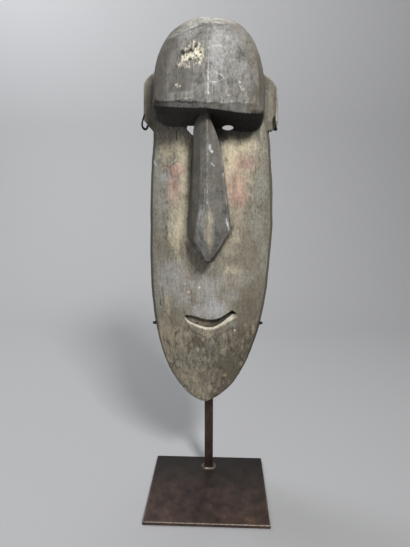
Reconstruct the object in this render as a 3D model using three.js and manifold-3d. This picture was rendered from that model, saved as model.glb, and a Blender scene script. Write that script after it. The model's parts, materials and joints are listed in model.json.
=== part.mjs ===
// A carved wooden mask standing on its display stand. Millimetres, +Z up, the face looks along -Y.
// The origin is the middle of the base plate's underside. The ridge of the brow and nose lies on X = 0.
import * as THREE from 'three';
import { mergeVertices } from 'three/addons/utils/BufferGeometryUtils.js';
import Module from 'manifold-3d';

const wasm = await Module();
wasm.setup();

// Stand: a steel plate, a square post and four bent rods that hold the mask.
const PLATE = { width: 210, depth: 175, thickness: 6 };
const POST = { side: 16, frontY: 51, topZ: 632, weldReach: 2 };
const ROD_RADIUS = 1.8;
const ROD_SIDES = 8;
const ROD_Y = 57;
const CLEARANCE = 0.3;
const HOOK_Z = 617;
const LEFT_BEND = [[-94.5, 10.5, 638], [-94.7, 4, 634.5], [-95.5, -2, 630.8], [-97.2, -7, 629.7], [-99.1, -11, 631.7],
  [-99.9, -12.5, 635.6], [-98.9, -12.7, 641], [-97.2, -12.1, 646.6], [-95.7, -11.3, 651.5]];
const RIGHT_BEND = [[98, 16, 634], [101.4, 10.5, 631.4], [103.2, 5.5, 629.4], [103.5, -1, 629], [103.1, -6.5, 629],
  [102.2, -10.5, 629.8], [100.9, -12.3, 633.3], [100.1, -12.5, 638], [99.5, -12.1, 643], [98.9, -11.3, 647.5]];

// Mask: one block of wood. Heights are above the floor.
const RIM_Y = 46;
const CHIN_Z = 175;
const WIDEST_Z = 475;
const CREASE_Z = 624;
const HALF_WIDTH = 97.8;
const CREASE_NARROWING = 9.2;
const CROWN = 22;
const CHIN_SET_BACK = 16;
const EDGE_Y = -8;
const EDGE_BEVEL = 5;
const SIDE_TAPER = 4;
const WALL = 14;

// Brow: the dome that overhangs the eyes.
const DOME = { x: 1.5, halfWidth: 82, middleZ: 665, rise: 116, drop: 41, bottomZ: 652, frontY: -88, slope: 0.27 };
const DOME_TOP_POWER = 2.3;
const DOME_FOOT_POWER = 4;
const BROW_POWER = 7;
const BROW_TILT = -0.085;
const BROW_DEPTH = 2;

// Nose: an arrow with a sharp ridge, a flat on its lower ridge and a blunt tip.
const NOSE = { topZ: 646, archZ: 588, rightCornerZ: 480, leftCornerZ: 467, tipZ: 435, tipX: 2.5, rootY: -15 };
const NOSE_RIDGE_Y = [[646, -68], [520, -74], [486, -76], [460, -71], [435, -61]];

// The shoulder is an edge that runs down the nose's left plane, proud of it by up to this much.
const NOSE_SHOULDER_X = [[646, 9], [552, 9], [525, 9.6], [496, 13.3], [466, 19], [435, 1]];
const SHOULDER_PROUD = 1.8;

// Mouth: a crescent pocket between two lips, each a smooth line through [x, z] points, blunt at the right.
const LOWER_LIP = [[-36, 335.4], [-30, 328.4], [-20.5, 323.4], [-10, 319.9], [1, 318.1], [10.5, 318.8], [18.5, 321.3],
  [25, 324.6], [33, 329.4], [39, 333.2], [45.5, 338]];
const UPPER_LIP = [[-36, 340], [-30, 340.8], [-23, 339.9], [-15, 337.5], [-3, 334.3], [6, 333.8], [17, 335.8],
  [27.5, 341.2], [35, 346], [40, 348.4], [45.5, 344]];
const MOUTH_DEPTH = { left: 5.5, right: 9, lip: 3 };

// Ears: plates level with the board's edge. Eyes: a slit on the right and a broken hole on the left.
const LEFT_EAR = { reach: 98.3, bottom: 624.5, top: 712, shoulder: 20, cutWidth: 15.5, cutHeight: 18.5 };
const RIGHT_EAR = { reach: 105, bottom: 626.5, top: 709, shoulder: 26, cutWidth: 8, cutHeight: 9 };
const RIGHT_EYE = { x: 29.5, z: 628.4, width: 17.5, height: 7 };
const LEFT_EYE = [[-31.5, 631.5], [-31.5, 626], [-21, 617], [-12, 617], [-12, 631.5]];
const SIGHT_SLOPE = 0.137;

const clamp = THREE.MathUtils.clamp;
const lerp = THREE.MathUtils.lerp;
const smooth = (z, low, high) => THREE.MathUtils.smoothstep(z, low, high);
const signedPower = (value, power) => Math.sign(value) * Math.abs(value) ** power;

/** The value at z on a line through [z, value] corners listed from the top down. */
function onLine(corners, z) {
  if (z >= corners[0][0]) return corners[0][1];
  for (let i = 1; i < corners.length; i += 1) {
    const [highZ, highValue] = corners[i - 1];
    const [lowZ, lowValue] = corners[i];
    if (z >= lowZ) return lerp(lowValue, highValue, (z - lowZ) / (highZ - lowZ));
  }
  return corners[corners.length - 1][1];
}

/** A closed solid through rings of equally many points, with a flat fan on each end. */
function loft(rings) {
  const count = rings[0].length;
  const positions = rings.flat(2);
  const index = [];
  for (let r = 0; r + 1 < rings.length; r += 1) {
    for (let i = 0; i < count; i += 1) {
      const a = r * count + i;
      const b = r * count + (i + 1) % count;
      index.push(a, b, b + count, a, b + count, a + count);
    }
  }
  const addCap = (ring, first, turned) => {
    const middle = positions.length / 3;
    const mean = [0, 1, 2].map((axis) => ring.reduce((sum, p) => sum + p[axis], 0) / count);
    positions.push(...mean);
    for (let i = 0; i < count; i += 1) {
      const a = first + i;
      const b = first + (i + 1) % count;
      index.push(...(turned ? [middle, a, b] : [middle, b, a]));
    }
  };
  addCap(rings[0], 0, false);
  addCap(rings[rings.length - 1], (rings.length - 1) * count, true);
  const geometry = new THREE.BufferGeometry();
  geometry.setAttribute('position', new THREE.Float32BufferAttribute(positions, 3));
  geometry.setIndex(index);
  return geometry;
}

/** Turns a closed geometry into a solid for joining and cutting. */
function toSolid(geometry) {
  const bare = geometry.clone();
  bare.deleteAttribute('normal');
  bare.deleteAttribute('uv');
  const merged = mergeVertices(bare, 1e-4);
  const mesh = new wasm.Mesh({
    numProp: 3,
    vertProperties: new Float32Array(merged.attributes.position.array),
    triVerts: new Uint32Array(merged.index.array),
  });
  return new wasm.Manifold(mesh);
}

/** Turns a solid back into a geometry. */
function toGeometry(solid) {
  const mesh = solid.getMesh();
  const geometry = new THREE.BufferGeometry();
  geometry.setAttribute('position', new THREE.BufferAttribute(new Float32Array(mesh.vertProperties), 3));
  geometry.setIndex(new THREE.BufferAttribute(new Uint32Array(mesh.triVerts), 1));
  geometry.computeVertexNormals();
  return geometry;
}

/** Half the dome's width at height z: a blunt curve above its middle and a squarer one below. */
function domeHalfWidth(z) {
  const above = z > DOME.middleZ;
  const share = Math.abs(z - DOME.middleZ) / (above ? DOME.rise : DOME.drop);
  const power = above ? DOME_TOP_POWER : DOME_FOOT_POWER;
  return DOME.halfWidth * Math.max(0, 1 - share ** power) ** (1 / power);
}

/** Half the face's width at height z, up the chin's round, along the cheeks and behind the dome. */
function faceHalfWidth(z) {
  if (z < WIDEST_Z) {
    const share = clamp((z - CHIN_Z) / (WIDEST_Z - CHIN_Z), 0, 1);
    return HALF_WIDTH * Math.sqrt(1 - (1 - share) ** 2.4);
  }
  const atCrease = HALF_WIDTH - CREASE_NARROWING;
  if (z < CREASE_Z) {
    return HALF_WIDTH - CREASE_NARROWING * ((z - WIDEST_Z) / (CREASE_Z - WIDEST_Z)) ** 1.8;
  }
  const inset = 1;
  if (z < DOME.middleZ) return lerp(atCrease, DOME.halfWidth - inset, smooth(z, CREASE_Z, DOME.middleZ));
  return Math.max(0.5, domeHalfWidth(z) - inset);
}

/** How far the face's middle line leans to the right of the ridge at height z. */
function faceMiddle(z) {
  const lean = lerp(-5.5, 4.8, clamp((z - 190) / 290, 0, 1));
  return lerp(lean, DOME.x, smooth(z, 600, DOME.middleZ));
}

/** The face board's edge in depth: it draws back towards the chin. */
const faceEdgeY = (z) => EDGE_Y + CHIN_SET_BACK * (1 - smooth(z, CHIN_Z - 40, CHIN_Z + 170));

/** The face board's front in depth: a low crown across, lower at the chin and behind the dome. */
function faceY(x, z) {
  const across = clamp(Math.abs(x - faceMiddle(z)) / faceHalfWidth(z), 0, 1);
  const crown = CROWN * lerp(0.35, 1, smooth(z, CHIN_Z, CHIN_Z + 130)) * (1 - smooth(z, 690, 750));
  return faceEdgeY(z) - crown * (1 - across ** 2.2);
}

/** Heights from low to high, close together at both ends where the outline closes. */
function heights(low, high, count) {
  return Array.from({ length: count + 1 }, (_, i) => lerp(low, high, (1 - Math.cos(Math.PI * i / count)) / 2));
}

/** The board: crowned front, bevelled edges and straight sides back to the rim. */
function board() {
  const acrossSteps = 14;
  return loft(heights(CHIN_Z + 1.2, DOME.middleZ + DOME.rise - 3, 40).map((z) => {
    const half = faceHalfWidth(z);
    const middle = faceMiddle(z);
    const bevel = Math.min(EDGE_BEVEL, half * 0.3);
    const taper = Math.min(SIDE_TAPER, half * 0.3);
    const front = Array.from({ length: acrossSteps + 1 }, (_, i) => {
      const x = middle + (half - bevel) * (2 * i / acrossSteps - 1);
      return [x, faceY(x, z), z];
    });
    const sideY = faceEdgeY(z) + bevel * 1.2;
    return [
      [middle - half + taper, RIM_Y, z],
      [middle - half, sideY, z],
      ...front,
      [middle + half, sideY, z],
      [middle + half - taper, RIM_Y, z],
    ];
  }));
}

/** The ridge of the dome's front in depth, from the brow up over the crown. */
function domeRidgeY(z) {
  const share = clamp((z - DOME.bottomZ) / (DOME.middleZ + DOME.rise - DOME.bottomZ), 0, 1);
  return DOME.frontY + 45 * share ** 1.72;
}

/** The dome: rings from inside the board out to the brow and in along two flat faces to the ridge. */
function dome() {
  const [archSteps, footSteps] = [24, 18];
  const ring = ({ across, up, down, power, sideY, topY, footY, inward = 1 }) => {
    const arch = Array.from({ length: archSteps + 1 }, (_, i) => {
      const turn = Math.PI * i / archSteps;
      const rise = Math.sin(turn) ** (2 / DOME_TOP_POWER);
      const x = across * signedPower(Math.cos(turn), 2 / DOME_TOP_POWER);
      return { x, z: DOME.middleZ + up * rise, sideways: Math.sin(turn), endY: topY };
    });
    const foot = Array.from({ length: footSteps - 1 }, (_, i) => {
      const share = -Math.cos(Math.PI * (i + 1) / footSteps);
      const fall = (1 - Math.abs(share) ** power) ** (1 / power);
      const x = across * share;
      const tilt = inward === 1 ? BROW_TILT * x * fall : 0;
      const browY = DOME.frontY + DOME.slope * Math.abs(x) + BROW_DEPTH;
      return { x, z: DOME.middleZ - down * fall + tilt, sideways: fall, endY: footY === undefined ? browY : footY };
    });
    return [...arch, ...foot].map(({ x, z, sideways, endY }) => {
      if (sideY === undefined) return [x * inward, domeRidgeY(z) + DOME.slope * Math.abs(x) * inward, z];
      return [x + DOME.x, lerp(sideY, endY, sideways ** 1.5), z];
    });
  };
  const { halfWidth: half, rise, drop } = DOME;
  const side = { across: half, up: rise, down: drop, power: DOME_FOOT_POWER };
  const front = { across: half - 11, up: rise - 8, down: DOME.middleZ - DOME.bottomZ, power: BROW_POWER };
  return loft([
    ring({ ...side, sideY: 14, topY: 14, footY: 0 }),
    ring({ ...side, sideY: -6, topY: 0, footY: -22 }),
    ring({ ...side, across: half - 1, down: 25, sideY: -30, topY: -14, footY: -50, power: 5 }),
    ring({ ...side, across: half - 4, up: rise - 5, down: 20, sideY: -50, topY: -36, power: BROW_POWER }),
    ring(front),
    ring({ ...front, inward: 0.01 }),
  ]);
}

/** The nose: sections from the underside of the brow down to the tip. */
function nose() {
  const levels = [NOSE.topZ, 640, 634, 626, 612, NOSE.archZ, 553, 520, 500, NOSE.rightCornerZ,
    NOSE.leftCornerZ, 451, 441, NOSE.tipZ];
  return loft(levels.reverse().map((z) => {
    const arch = clamp((z - NOSE.archZ) / (NOSE.topZ - NOSE.archZ), 0, 0.97);
    const rightClose = clamp((z - NOSE.tipZ) / (NOSE.rightCornerZ - NOSE.tipZ), 0, 1) ** 0.9;
    const leftClose = clamp((z - NOSE.tipZ) / (NOSE.leftCornerZ - NOSE.tipZ), 0, 1) ** 0.9;
    const right = lerp(5, onLine([[588, 20], [480, 34.5]], z), rightClose) * (1 - arch ** 1.4);
    const left = lerp(1, onLine([[610, 19.5], [500, 22]], z), leftClose) * (1 - arch ** 7);
    const leftFoot = lerp(5, onLine([[615, 24], [553, 26], [470, 36]], z), leftClose) * (1 - arch ** 6);
    const ridgeY = onLine(NOSE_RIDGE_Y, z);
    const flat = onLine([[520, 0.8], [480, 5.5], [435, 2]], z) * (1 - arch);
    const ridgeX = NOSE.tipX * (1 - clamp((z - NOSE.tipZ) / 90, 0, 1));
    const ridgeLeft = ridgeX - flat;
    const cornerX = Math.min(-left, ridgeLeft - 0.4);
    const cornerY = ridgeY + 0.7 * left;
    const shoulderX = clamp(-onLine(NOSE_SHOULDER_X, z), cornerX + 0.2, ridgeLeft - 0.2);
    const share = (ridgeLeft - shoulderX) / (ridgeLeft - cornerX);
    const proud = 4 * SHOULDER_PROUD * share * (1 - share);
    return [
      [-leftFoot, NOSE.rootY, z],
      [cornerX, cornerY, z],
      [shoulderX, lerp(ridgeY, cornerY, share) - proud, z],
      [ridgeLeft, ridgeY, z],
      [ridgeX + flat, ridgeY, z],
      [Math.max(right, ridgeX + flat + 0.2), ridgeY + 0.55 * right, z],
      [right + 1, NOSE.rootY, z],
    ];
  }));
}

/** One ear: a plate with a sloping shoulder and a cut lower corner, level with the board's edge. */
function ear(side, { reach, bottom, top, shoulder, cutWidth, cutHeight }) {
  const inner = DOME.halfWidth - 8;
  const outline = new THREE.Shape();
  outline.moveTo(side * inner, bottom);
  outline.lineTo(side * (reach - cutWidth), bottom);
  outline.lineTo(side * reach, bottom + cutHeight);
  outline.lineTo(side * (reach - 1), top - shoulder);
  outline.quadraticCurveTo(side * (reach - 4), top - shoulder * 0.45, side * (DOME.halfWidth - 3), top);
  outline.lineTo(side * inner, top);
  const plate = new THREE.ExtrudeGeometry(outline, { depth: 13, bevelEnabled: false, curveSegments: 6 });
  plate.rotateX(Math.PI / 2);
  plate.translate(0, 5, 0);
  return plate;
}

/** The hollow behind the face: a trough with an even wall, deeper inside the dome. */
function hollow() {
  const steps = 16;
  const low = CHIN_Z + 20;
  const high = DOME.middleZ + DOME.rise - 32;
  const rounding = (distance) => Math.sqrt(1 - (1 - clamp(distance / 50, 0.003, 1)) ** 2);
  return loft(heights(low, high, 28).map((z) => {
    const ends = Math.min(rounding(z - low), rounding(high - z));
    const half = (faceHalfWidth(z) - WALL) * ends;
    const faceFloor = faceEdgeY(z) - CROWN + WALL;
    const domeFloor = domeRidgeY(z) + WALL * 2;
    const floor = lerp(faceFloor, domeFloor, smooth(z, CREASE_Z + 6, DOME.middleZ + 15));
    const depth = (RIM_Y - floor) * ends;
    const scoop = Array.from({ length: steps + 1 }, (_, i) => {
      const turn = Math.PI * i / steps;
      const x = faceMiddle(z) - half * signedPower(Math.cos(turn), 0.8);
      return [x, RIM_Y - Math.max(0.5, depth * Math.sin(turn) ** 0.8), z];
    });
    return [[scoop[0][0], RIM_Y + 6, z], ...scoop, [scoop[steps][0], RIM_Y + 6, z]];
  }));
}

/** The mouth's cutter: a crescent whose lower lip slopes in, broad at the right and narrow at the left. */
function mouth() {
  const steps = 22;
  const alongLip = (corners) => new THREE.SplineCurve(corners.map((p) => new THREE.Vector2(...p))).getPoints(steps);
  const lower = alongLip(LOWER_LIP);
  const upper = alongLip(UPPER_LIP);
  const ring = (lipShare, depthAt) => {
    const raised = lower.map((p, i) => p.clone().lerp(upper[i], lipShare * lerp(0.14, 0.6, smooth(p.x, 4, 44))));
    return [...raised, ...[...upper].reverse()].map((p) => [p.x, faceY(p.x, p.y) + depthAt(p.x), p.y]);
  };
  return loft([
    ring(1.1, (x) => lerp(MOUTH_DEPTH.left, MOUTH_DEPTH.right, smooth(x, -20, 15))),
    ring(1, () => MOUTH_DEPTH.lip),
    ring(0, () => 0),
    ring(0, () => -8),
  ]);
}

/** A cutter along the wearer's line of sight through a flat outline of [x, z] points. */
function eyeCut(outline) {
  const ring = (y) => outline.map(([x, z]) => [x, y, z + SIGHT_SLOPE * (y + 26)]);
  return loft([ring(30), ring(-44)]);
}

/** The right eye's outline: a lens. */
function rightEye() {
  const steps = 14;
  return Array.from({ length: steps }, (_, i) => {
    const turn = 2 * Math.PI * i / steps;
    const x = RIGHT_EYE.x + RIGHT_EYE.width / 2 * Math.cos(turn);
    return [x, RIGHT_EYE.z + RIGHT_EYE.height / 2 * signedPower(Math.sin(turn), 1.2)];
  });
}

/** Three flat cuts on the crown: two facets in front and the slope that runs back from them to the rim. */
function crownCuts() {
  const size = 400;
  const above = (point, riseAcross, riseBack) => {
    const block = new THREE.BoxGeometry(size, size, size).translate(0, 0, size / 2);
    block.applyMatrix4(new THREE.Matrix4().set(1, 0, 0, 0, 0, 1, 0, 0, riseAcross, riseBack, 1, 0, 0, 0, 0, 1));
    return block.translate(...point);
  };
  return [above([-42, -48.3, 749], 0.448, 0.796), above([-4, -54, 761.5], -0.11, 0.6), above([0, -26, 778], 0, -0.3)];
}

/** The whole mask as one solid. */
function carvedMask() {
  const join = [dome(), nose(), ear(-1, LEFT_EAR), ear(1, RIGHT_EAR)];
  const cut = [hollow(), mouth(), eyeCut(rightEye()), eyeCut(LEFT_EYE), ...crownCuts()];
  let solid = toSolid(board());
  for (const geometry of join) solid = solid.add(toSolid(geometry));
  for (const geometry of cut) solid = solid.subtract(toSolid(geometry));
  return toGeometry(solid);
}

/** The plate with a fine bevel all round. */
function basePlate() {
  const bevel = 0.8;
  const outline = new THREE.Shape();
  const [x, y] = [PLATE.width / 2 - bevel, PLATE.depth / 2 - bevel];
  outline.moveTo(-x, -y).lineTo(x, -y).lineTo(x, y).lineTo(-x, y).closePath();
  const settings = { depth: PLATE.thickness - 2 * bevel, bevelThickness: bevel, bevelSize: bevel, bevelSegments: 1 };
  return new THREE.ExtrudeGeometry(outline, settings).translate(0, 0, bevel);
}

/** The post: a square bar with a flared weld at its foot. */
function post() {
  const half = POST.side / 2;
  const y = POST.frontY + half;
  const square = (size, z) => [[-size, y - size, z], [size, y - size, z], [size, y + size, z], [-size, y + size, z]];
  const foot = PLATE.thickness + CLEARANCE;
  return loft([square(half + POST.weldReach, foot), square(half, foot + POST.weldReach), square(half, POST.topZ)]);
}

/** A round rod along a smooth line through points. */
function rod(points, steps) {
  const section = new THREE.Shape();
  for (let i = 0; i < ROD_SIDES; i += 1) {
    const turn = 2 * Math.PI * i / ROD_SIDES;
    const place = [ROD_RADIUS * Math.cos(turn), ROD_RADIUS * Math.sin(turn)];
    if (i === 0) section.moveTo(...place);
    else section.lineTo(...place);
  }
  section.closePath();
  const path = new THREE.CatmullRomCurve3(points.map((p) => new THREE.Vector3(...p)), false, 'centripetal');
  return new THREE.ExtrudeGeometry(section, { extrudePath: path, steps });
}

/** An arm that leaves the post's side, runs out behind the mask and turns forward at its reach. */
function arm(side, reach, z) {
  return [
    [side * (POST.side / 2 + CLEARANCE), ROD_Y, z],
    [side * (reach - 16), ROD_Y, z],
    [side * (reach - 4), ROD_Y - 2.5, z],
    [side * reach, ROD_Y - 12, z],
  ];
}

/** A hook that passes behind an ear, bends under its cut corner and turns up in front of it. */
function earHook(side, reach, bend) {
  return rod([...arm(side, reach, HOOK_Z), [side * reach, 26, HOOK_Z + 13], ...bend], 60);
}

/** A claw that rises along the face's side and folds over its edge beside the mouth. */
function sideClaw(side, reach, z) {
  const rises = [[44, -15], [20, -8], [2, -2.5], [-6, -0.5]];
  const climb = rises.map(([y, rise], i) => [side * (reach - 3.3 + 1.1 * i), y, z + rise]);
  return rod([
    ...arm(side, reach - 3, z - 18).slice(0, 3),
    ...climb,
    [side * (reach - 1.8), -10.8, z],
    [side * (reach - 5), -12.6, z],
  ], 50);
}

const wood = new THREE.MeshStandardMaterial({ color: 0x5a534a, roughness: 0.85, metalness: 0 });
const steel = new THREE.MeshStandardMaterial({ color: 0x2c2320, roughness: 0.45, metalness: 0.8 });
const blackRod = new THREE.MeshStandardMaterial({ color: 0x1b1a19, roughness: 0.5, metalness: 0.7 });

const group = new THREE.Group();
for (const [name, geometry, material] of [
  ['mask', carvedMask(), wood],
  ['base_plate', basePlate(), steel],
  ['post', post(), steel],
  ['left_ear_hook', earHook(-1, 86.8, LEFT_BEND), blackRod],
  ['right_ear_hook', earHook(1, 94.5, RIGHT_BEND), blackRod],
  ['left_side_claw', sideClaw(-1, 90.9, 321.5), blackRod],
  ['right_side_claw', sideClaw(1, 89.2, 323), blackRod],
]) {
  const mesh = new THREE.Mesh(geometry, material);
  mesh.name = name;
  group.add(mesh);
}

export default group;
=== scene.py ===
"""Dresses a carved wooden mask on its steel display stand.

Lengths in the classes are millimetres; meshes are put into the scene in metres. The face looks
along -Y, +X is the viewer's right, and the floor is at z = 0.
"""

import itertools
import json
import logging
import math
from dataclasses import dataclass, field
from enum import Enum

import bpy
import numpy as np
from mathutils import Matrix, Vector

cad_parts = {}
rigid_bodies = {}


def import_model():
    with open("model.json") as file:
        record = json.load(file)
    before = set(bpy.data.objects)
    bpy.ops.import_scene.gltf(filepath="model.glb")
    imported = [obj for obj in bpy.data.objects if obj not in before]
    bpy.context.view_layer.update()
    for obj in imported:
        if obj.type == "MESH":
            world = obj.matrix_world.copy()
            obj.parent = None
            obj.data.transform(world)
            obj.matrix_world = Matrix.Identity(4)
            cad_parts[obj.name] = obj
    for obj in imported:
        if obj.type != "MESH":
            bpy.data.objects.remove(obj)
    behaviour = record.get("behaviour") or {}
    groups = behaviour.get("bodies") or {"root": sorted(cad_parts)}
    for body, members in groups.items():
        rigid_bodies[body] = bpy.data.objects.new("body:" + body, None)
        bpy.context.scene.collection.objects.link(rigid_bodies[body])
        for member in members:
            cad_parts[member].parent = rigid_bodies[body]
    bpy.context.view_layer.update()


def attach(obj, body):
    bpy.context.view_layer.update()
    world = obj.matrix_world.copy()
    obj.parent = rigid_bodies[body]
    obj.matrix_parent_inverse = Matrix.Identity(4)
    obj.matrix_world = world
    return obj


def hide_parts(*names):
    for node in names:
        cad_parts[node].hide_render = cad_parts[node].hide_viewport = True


log = logging.getLogger("mask")
MM = 0.001

Pair = tuple[float, float]
Triple = tuple[float, float, float]
Material = bpy.types.Material
Mesh = bpy.types.Mesh
Object = bpy.types.Object
Socket = bpy.types.NodeSocket
Tree = bpy.types.NodeTree


class Slot(Enum):
    """The record's material slots."""

    WOOD = "carved_wood"
    STEEL = "patinated_steel"
    ROD = "blackened_rod"


class Joint(Enum):
    """How a solid meets the block."""

    ADD = "UNION"
    CUT = "DIFFERENCE"


def smooth(value: np.ndarray, low: float, high: float) -> np.ndarray:
    """A smooth step from 0 at low to 1 at high.

    Args:
        value: the numbers to step.
        low: where the step starts.
        high: where it ends.

    Returns:
        3t^2 - 2t^3 of the share t of the way from low to high, clipped to 0..1.
    """
    share = np.clip((np.asarray(value, float) - low) / (high - low), 0, 1)
    return share * share * (3 - 2 * share)


def blend(start: np.ndarray, end: np.ndarray, share: np.ndarray) -> np.ndarray:
    """The point a share of the way from start to end."""
    return start + (end - start) * share


def signed_power(value: np.ndarray, power: float) -> np.ndarray:
    """The value's size raised to a power, with its sign kept."""
    return np.sign(value) * np.abs(value) ** power


def lattice_noise(points: np.ndarray, seed: int) -> np.ndarray:
    """Smooth noise in -1..1 with features about one unit across.

    Each whole-number lattice point gets a hashed value, and a point takes the mix of its eight
    neighbours' values, weighted by the quintic fade 6t^5 - 15t^4 + 10t^3 along each axis.

    Args:
        points: an (n, 3) array.
        seed: picks the pattern.

    Returns:
        An (n,) array.
    """
    cell = np.floor(points).astype(np.int64)
    part = points - cell
    fade = part**3 * (part * (part * 6 - 15) + 10)
    total = np.zeros(len(points))
    for corner in itertools.product((0, 1), repeat=3):
        step = np.array(corner)
        key = ((cell + step) * np.array([73856093, 19349663, 83492791])).sum(1) + seed * 26544357
        key = (key ^ (key >> 13)) * 12741261 & 0xFFFFFFFF
        key = (key ^ (key >> 15)) * 8461729 & 0xFFFFFFFF
        value = ((key >> 8) & 0xFFFF) / 32767.5 - 1
        total += value * np.prod(np.where(step, fade, 1 - fade), axis=1)
    return total


def layered_noise(points: np.ndarray, size: Triple, octaves: int, seed: int) -> np.ndarray:
    """Noise with finer and finer layers, each half as large and half as strong as the last.

    Args:
        points: an (n, 3) array in millimetres.
        size: the broadest layer's feature size along each axis.
        octaves: how many layers.
        seed: picks the pattern.

    Returns:
        An (n,) array, about -1..1.
    """
    scaled = points / np.array(size)
    total = np.zeros(len(points))
    for layer in range(octaves):
        total += lattice_noise(scaled * 2**layer + 17.3 * layer, seed + layer) / 2**layer
    return total / (2 - 2.0 ** (1 - octaves))


def place_object(name: str, data: bpy.types.ID) -> Object:
    """Puts a new object into the scene.

    Args:
        name: the object's name.
        data: the mesh, light or camera it holds.

    Returns:
        The object.
    """
    made = bpy.data.objects.new(name, data)
    bpy.context.scene.collection.objects.link(made)
    return made


@dataclass
class Shell:
    """A closed surface as plain arrays: points in millimetres and the corners of its faces."""

    points: np.ndarray
    faces: list[list[int]]

    def to_object(self, name: str) -> Object:
        """Makes a mesh object of the shell.

        Args:
            name: the object's name.

        Returns:
            The object, linked into the scene, with its place in its mesh.
        """
        mesh = bpy.data.meshes.new(name)
        mesh.from_pydata((self.points * MM).tolist(), [], self.faces)
        mesh.update()
        return place_object(name, mesh)


def loft(rings: np.ndarray) -> Shell:
    """A closed solid through rings of equally many points.

    Point i of ring r joins point i + 1 and the same two points of ring r + 1. A fan of triangles
    round the mean of each end ring closes the ends.

    Args:
        rings: an (r, n, 3) array, each ring running the same way round.

    Returns:
        The closed shell.
    """
    levels, count, _ = rings.shape
    index = np.arange(levels * count).reshape(levels, count)
    near, far = index[:-1], index[1:]
    quads = np.stack([near, np.roll(near, -1, 1), np.roll(far, -1, 1), far], -1).reshape(-1, 4)
    first, last = index[0], index[-1]
    centre = levels * count
    low = np.stack([np.full(count, centre), np.roll(first, -1), first], -1)
    high = np.stack([np.full(count, centre + 1), last, np.roll(last, -1)], -1)
    points = np.concatenate([rings.reshape(-1, 3), rings[[0, -1]].mean(1)])
    return Shell(points, quads.tolist() + low.tolist() + high.tolist())


def between(rings: np.ndarray, steps: int) -> np.ndarray:
    """More rings evenly spaced on straight lines between each ring and the next.

    Args:
        rings: an (r, n, 3) array.
        steps: how many gaps each gap becomes.

    Returns:
        An ((r - 1) * steps + 1, n, 3) array.
    """
    share = np.arange(steps)[:, None, None] / steps
    parts = [blend(a[None], b[None], share) for a, b in zip(rings[:-1], rings[1:])]
    return np.concatenate([*parts, rings[-1:]])


def spline(corners: tuple[Pair, ...], steps: int) -> np.ndarray:
    """A smooth line through corners.

    Between two corners the line is the uniform Catmull-Rom cubic of those two and their
    neighbours, where an end corner stands for its own missing neighbour.

    Args:
        corners: the corners.
        steps: how many stretches the line gets.

    Returns:
        A (steps + 1, 2) array, evenly spaced along the corners' count.
    """
    points = np.array(corners, float)
    at = np.linspace(0, len(points) - 1, steps + 1)
    first = np.minimum(at.astype(int), len(points) - 2)
    t = (at - first)[:, None]
    a, b, c, d = (points[np.clip(first + i, 0, len(points) - 1)] for i in (-1, 0, 1, 2))
    out, into = (c - a) / 2, (d - b) / 2
    return b + out * t + (3 * c - 3 * b - 2 * out - into) * t**2 + (2 * b - 2 * c + out + into) * t**3


def along(at: np.ndarray, line: np.ndarray | tuple[Pair, ...]) -> np.ndarray:
    """The second coordinate of a broken line at places along its first."""
    return np.interp(at, *np.array(line).T)


def settle(made: Object) -> None:
    """Applies an object's modifiers, so its mesh holds its final shape.

    Args:
        made: the object that changes.
    """
    depsgraph = bpy.context.evaluated_depsgraph_get()
    mesh = bpy.data.meshes.new_from_object(made.evaluated_get(depsgraph))
    made.modifiers.clear()
    old = made.data
    made.data = mesh
    bpy.data.meshes.remove(old)


def join(block: Object, tool: Object, how: Joint) -> None:
    """Adds a solid to the block or cuts it away, and removes the tool.

    Args:
        block: the object that changes.
        tool: the solid that is added or cut away.
        how: which of the two.
    """
    modifier = block.modifiers.new("joint", "BOOLEAN")
    modifier.operation = how.value
    modifier.solver = "MANIFOLD"
    modifier.object = tool
    settle(block)
    mesh = tool.data
    bpy.data.objects.remove(tool)
    bpy.data.meshes.remove(mesh)


def read_rows(source: bpy.types.bpy_prop_collection, key: str) -> np.ndarray:
    """Three numbers of each item of a mesh.

    Args:
        source: the items, such as the mesh's vertices.
        key: the numbers' name.

    Returns:
        An (n, 3) array.
    """
    flat = np.empty(len(source) * 3, np.float32)
    source.foreach_get(key, flat)
    return flat.reshape(-1, 3).astype(float)


def read_points(mesh: Mesh) -> np.ndarray:
    """The mesh's points in millimetres, as an (n, 3) array."""
    return read_rows(mesh.vertices, "co") / MM


def read_normals(mesh: Mesh) -> np.ndarray:
    """The mesh's point normals, as an (n, 3) array."""
    return read_rows(mesh.vertex_normals, "vector")


def write_points(mesh: Mesh, points: np.ndarray) -> None:
    """Puts points, in millimetres, back into the mesh."""
    mesh.vertices.foreach_set("co", (points * MM).astype(np.float32).ravel())
    mesh.update()


def neighbour_mean(mesh: Mesh, values: np.ndarray) -> np.ndarray:
    """The mean of the values at each point's neighbours.

    Args:
        mesh: the mesh whose edges say which points are neighbours.
        values: an (n,) or (n, k) array.

    Returns:
        An array of the same shape.
    """
    flat = np.empty(len(mesh.edges) * 2, np.int32)
    mesh.edges.foreach_get("vertices", flat)
    start, end = flat[0::2], flat[1::2]
    count = np.bincount(flat, minlength=len(values)).clip(1)
    columns = values.reshape(len(values), -1)
    means = [
        (np.bincount(start, column[end], len(values)) + np.bincount(end, column[start], len(values))) / count
        for column in columns.T
    ]
    return np.stack(means, -1).reshape(values.shape)


def store(mesh: Mesh, name: str, values: np.ndarray) -> None:
    """Writes one number per point under a name that a material can read."""
    attribute = mesh.attributes.new(name, "FLOAT", "POINT")
    attribute.data.foreach_set("value", values.astype(np.float32))


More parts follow.
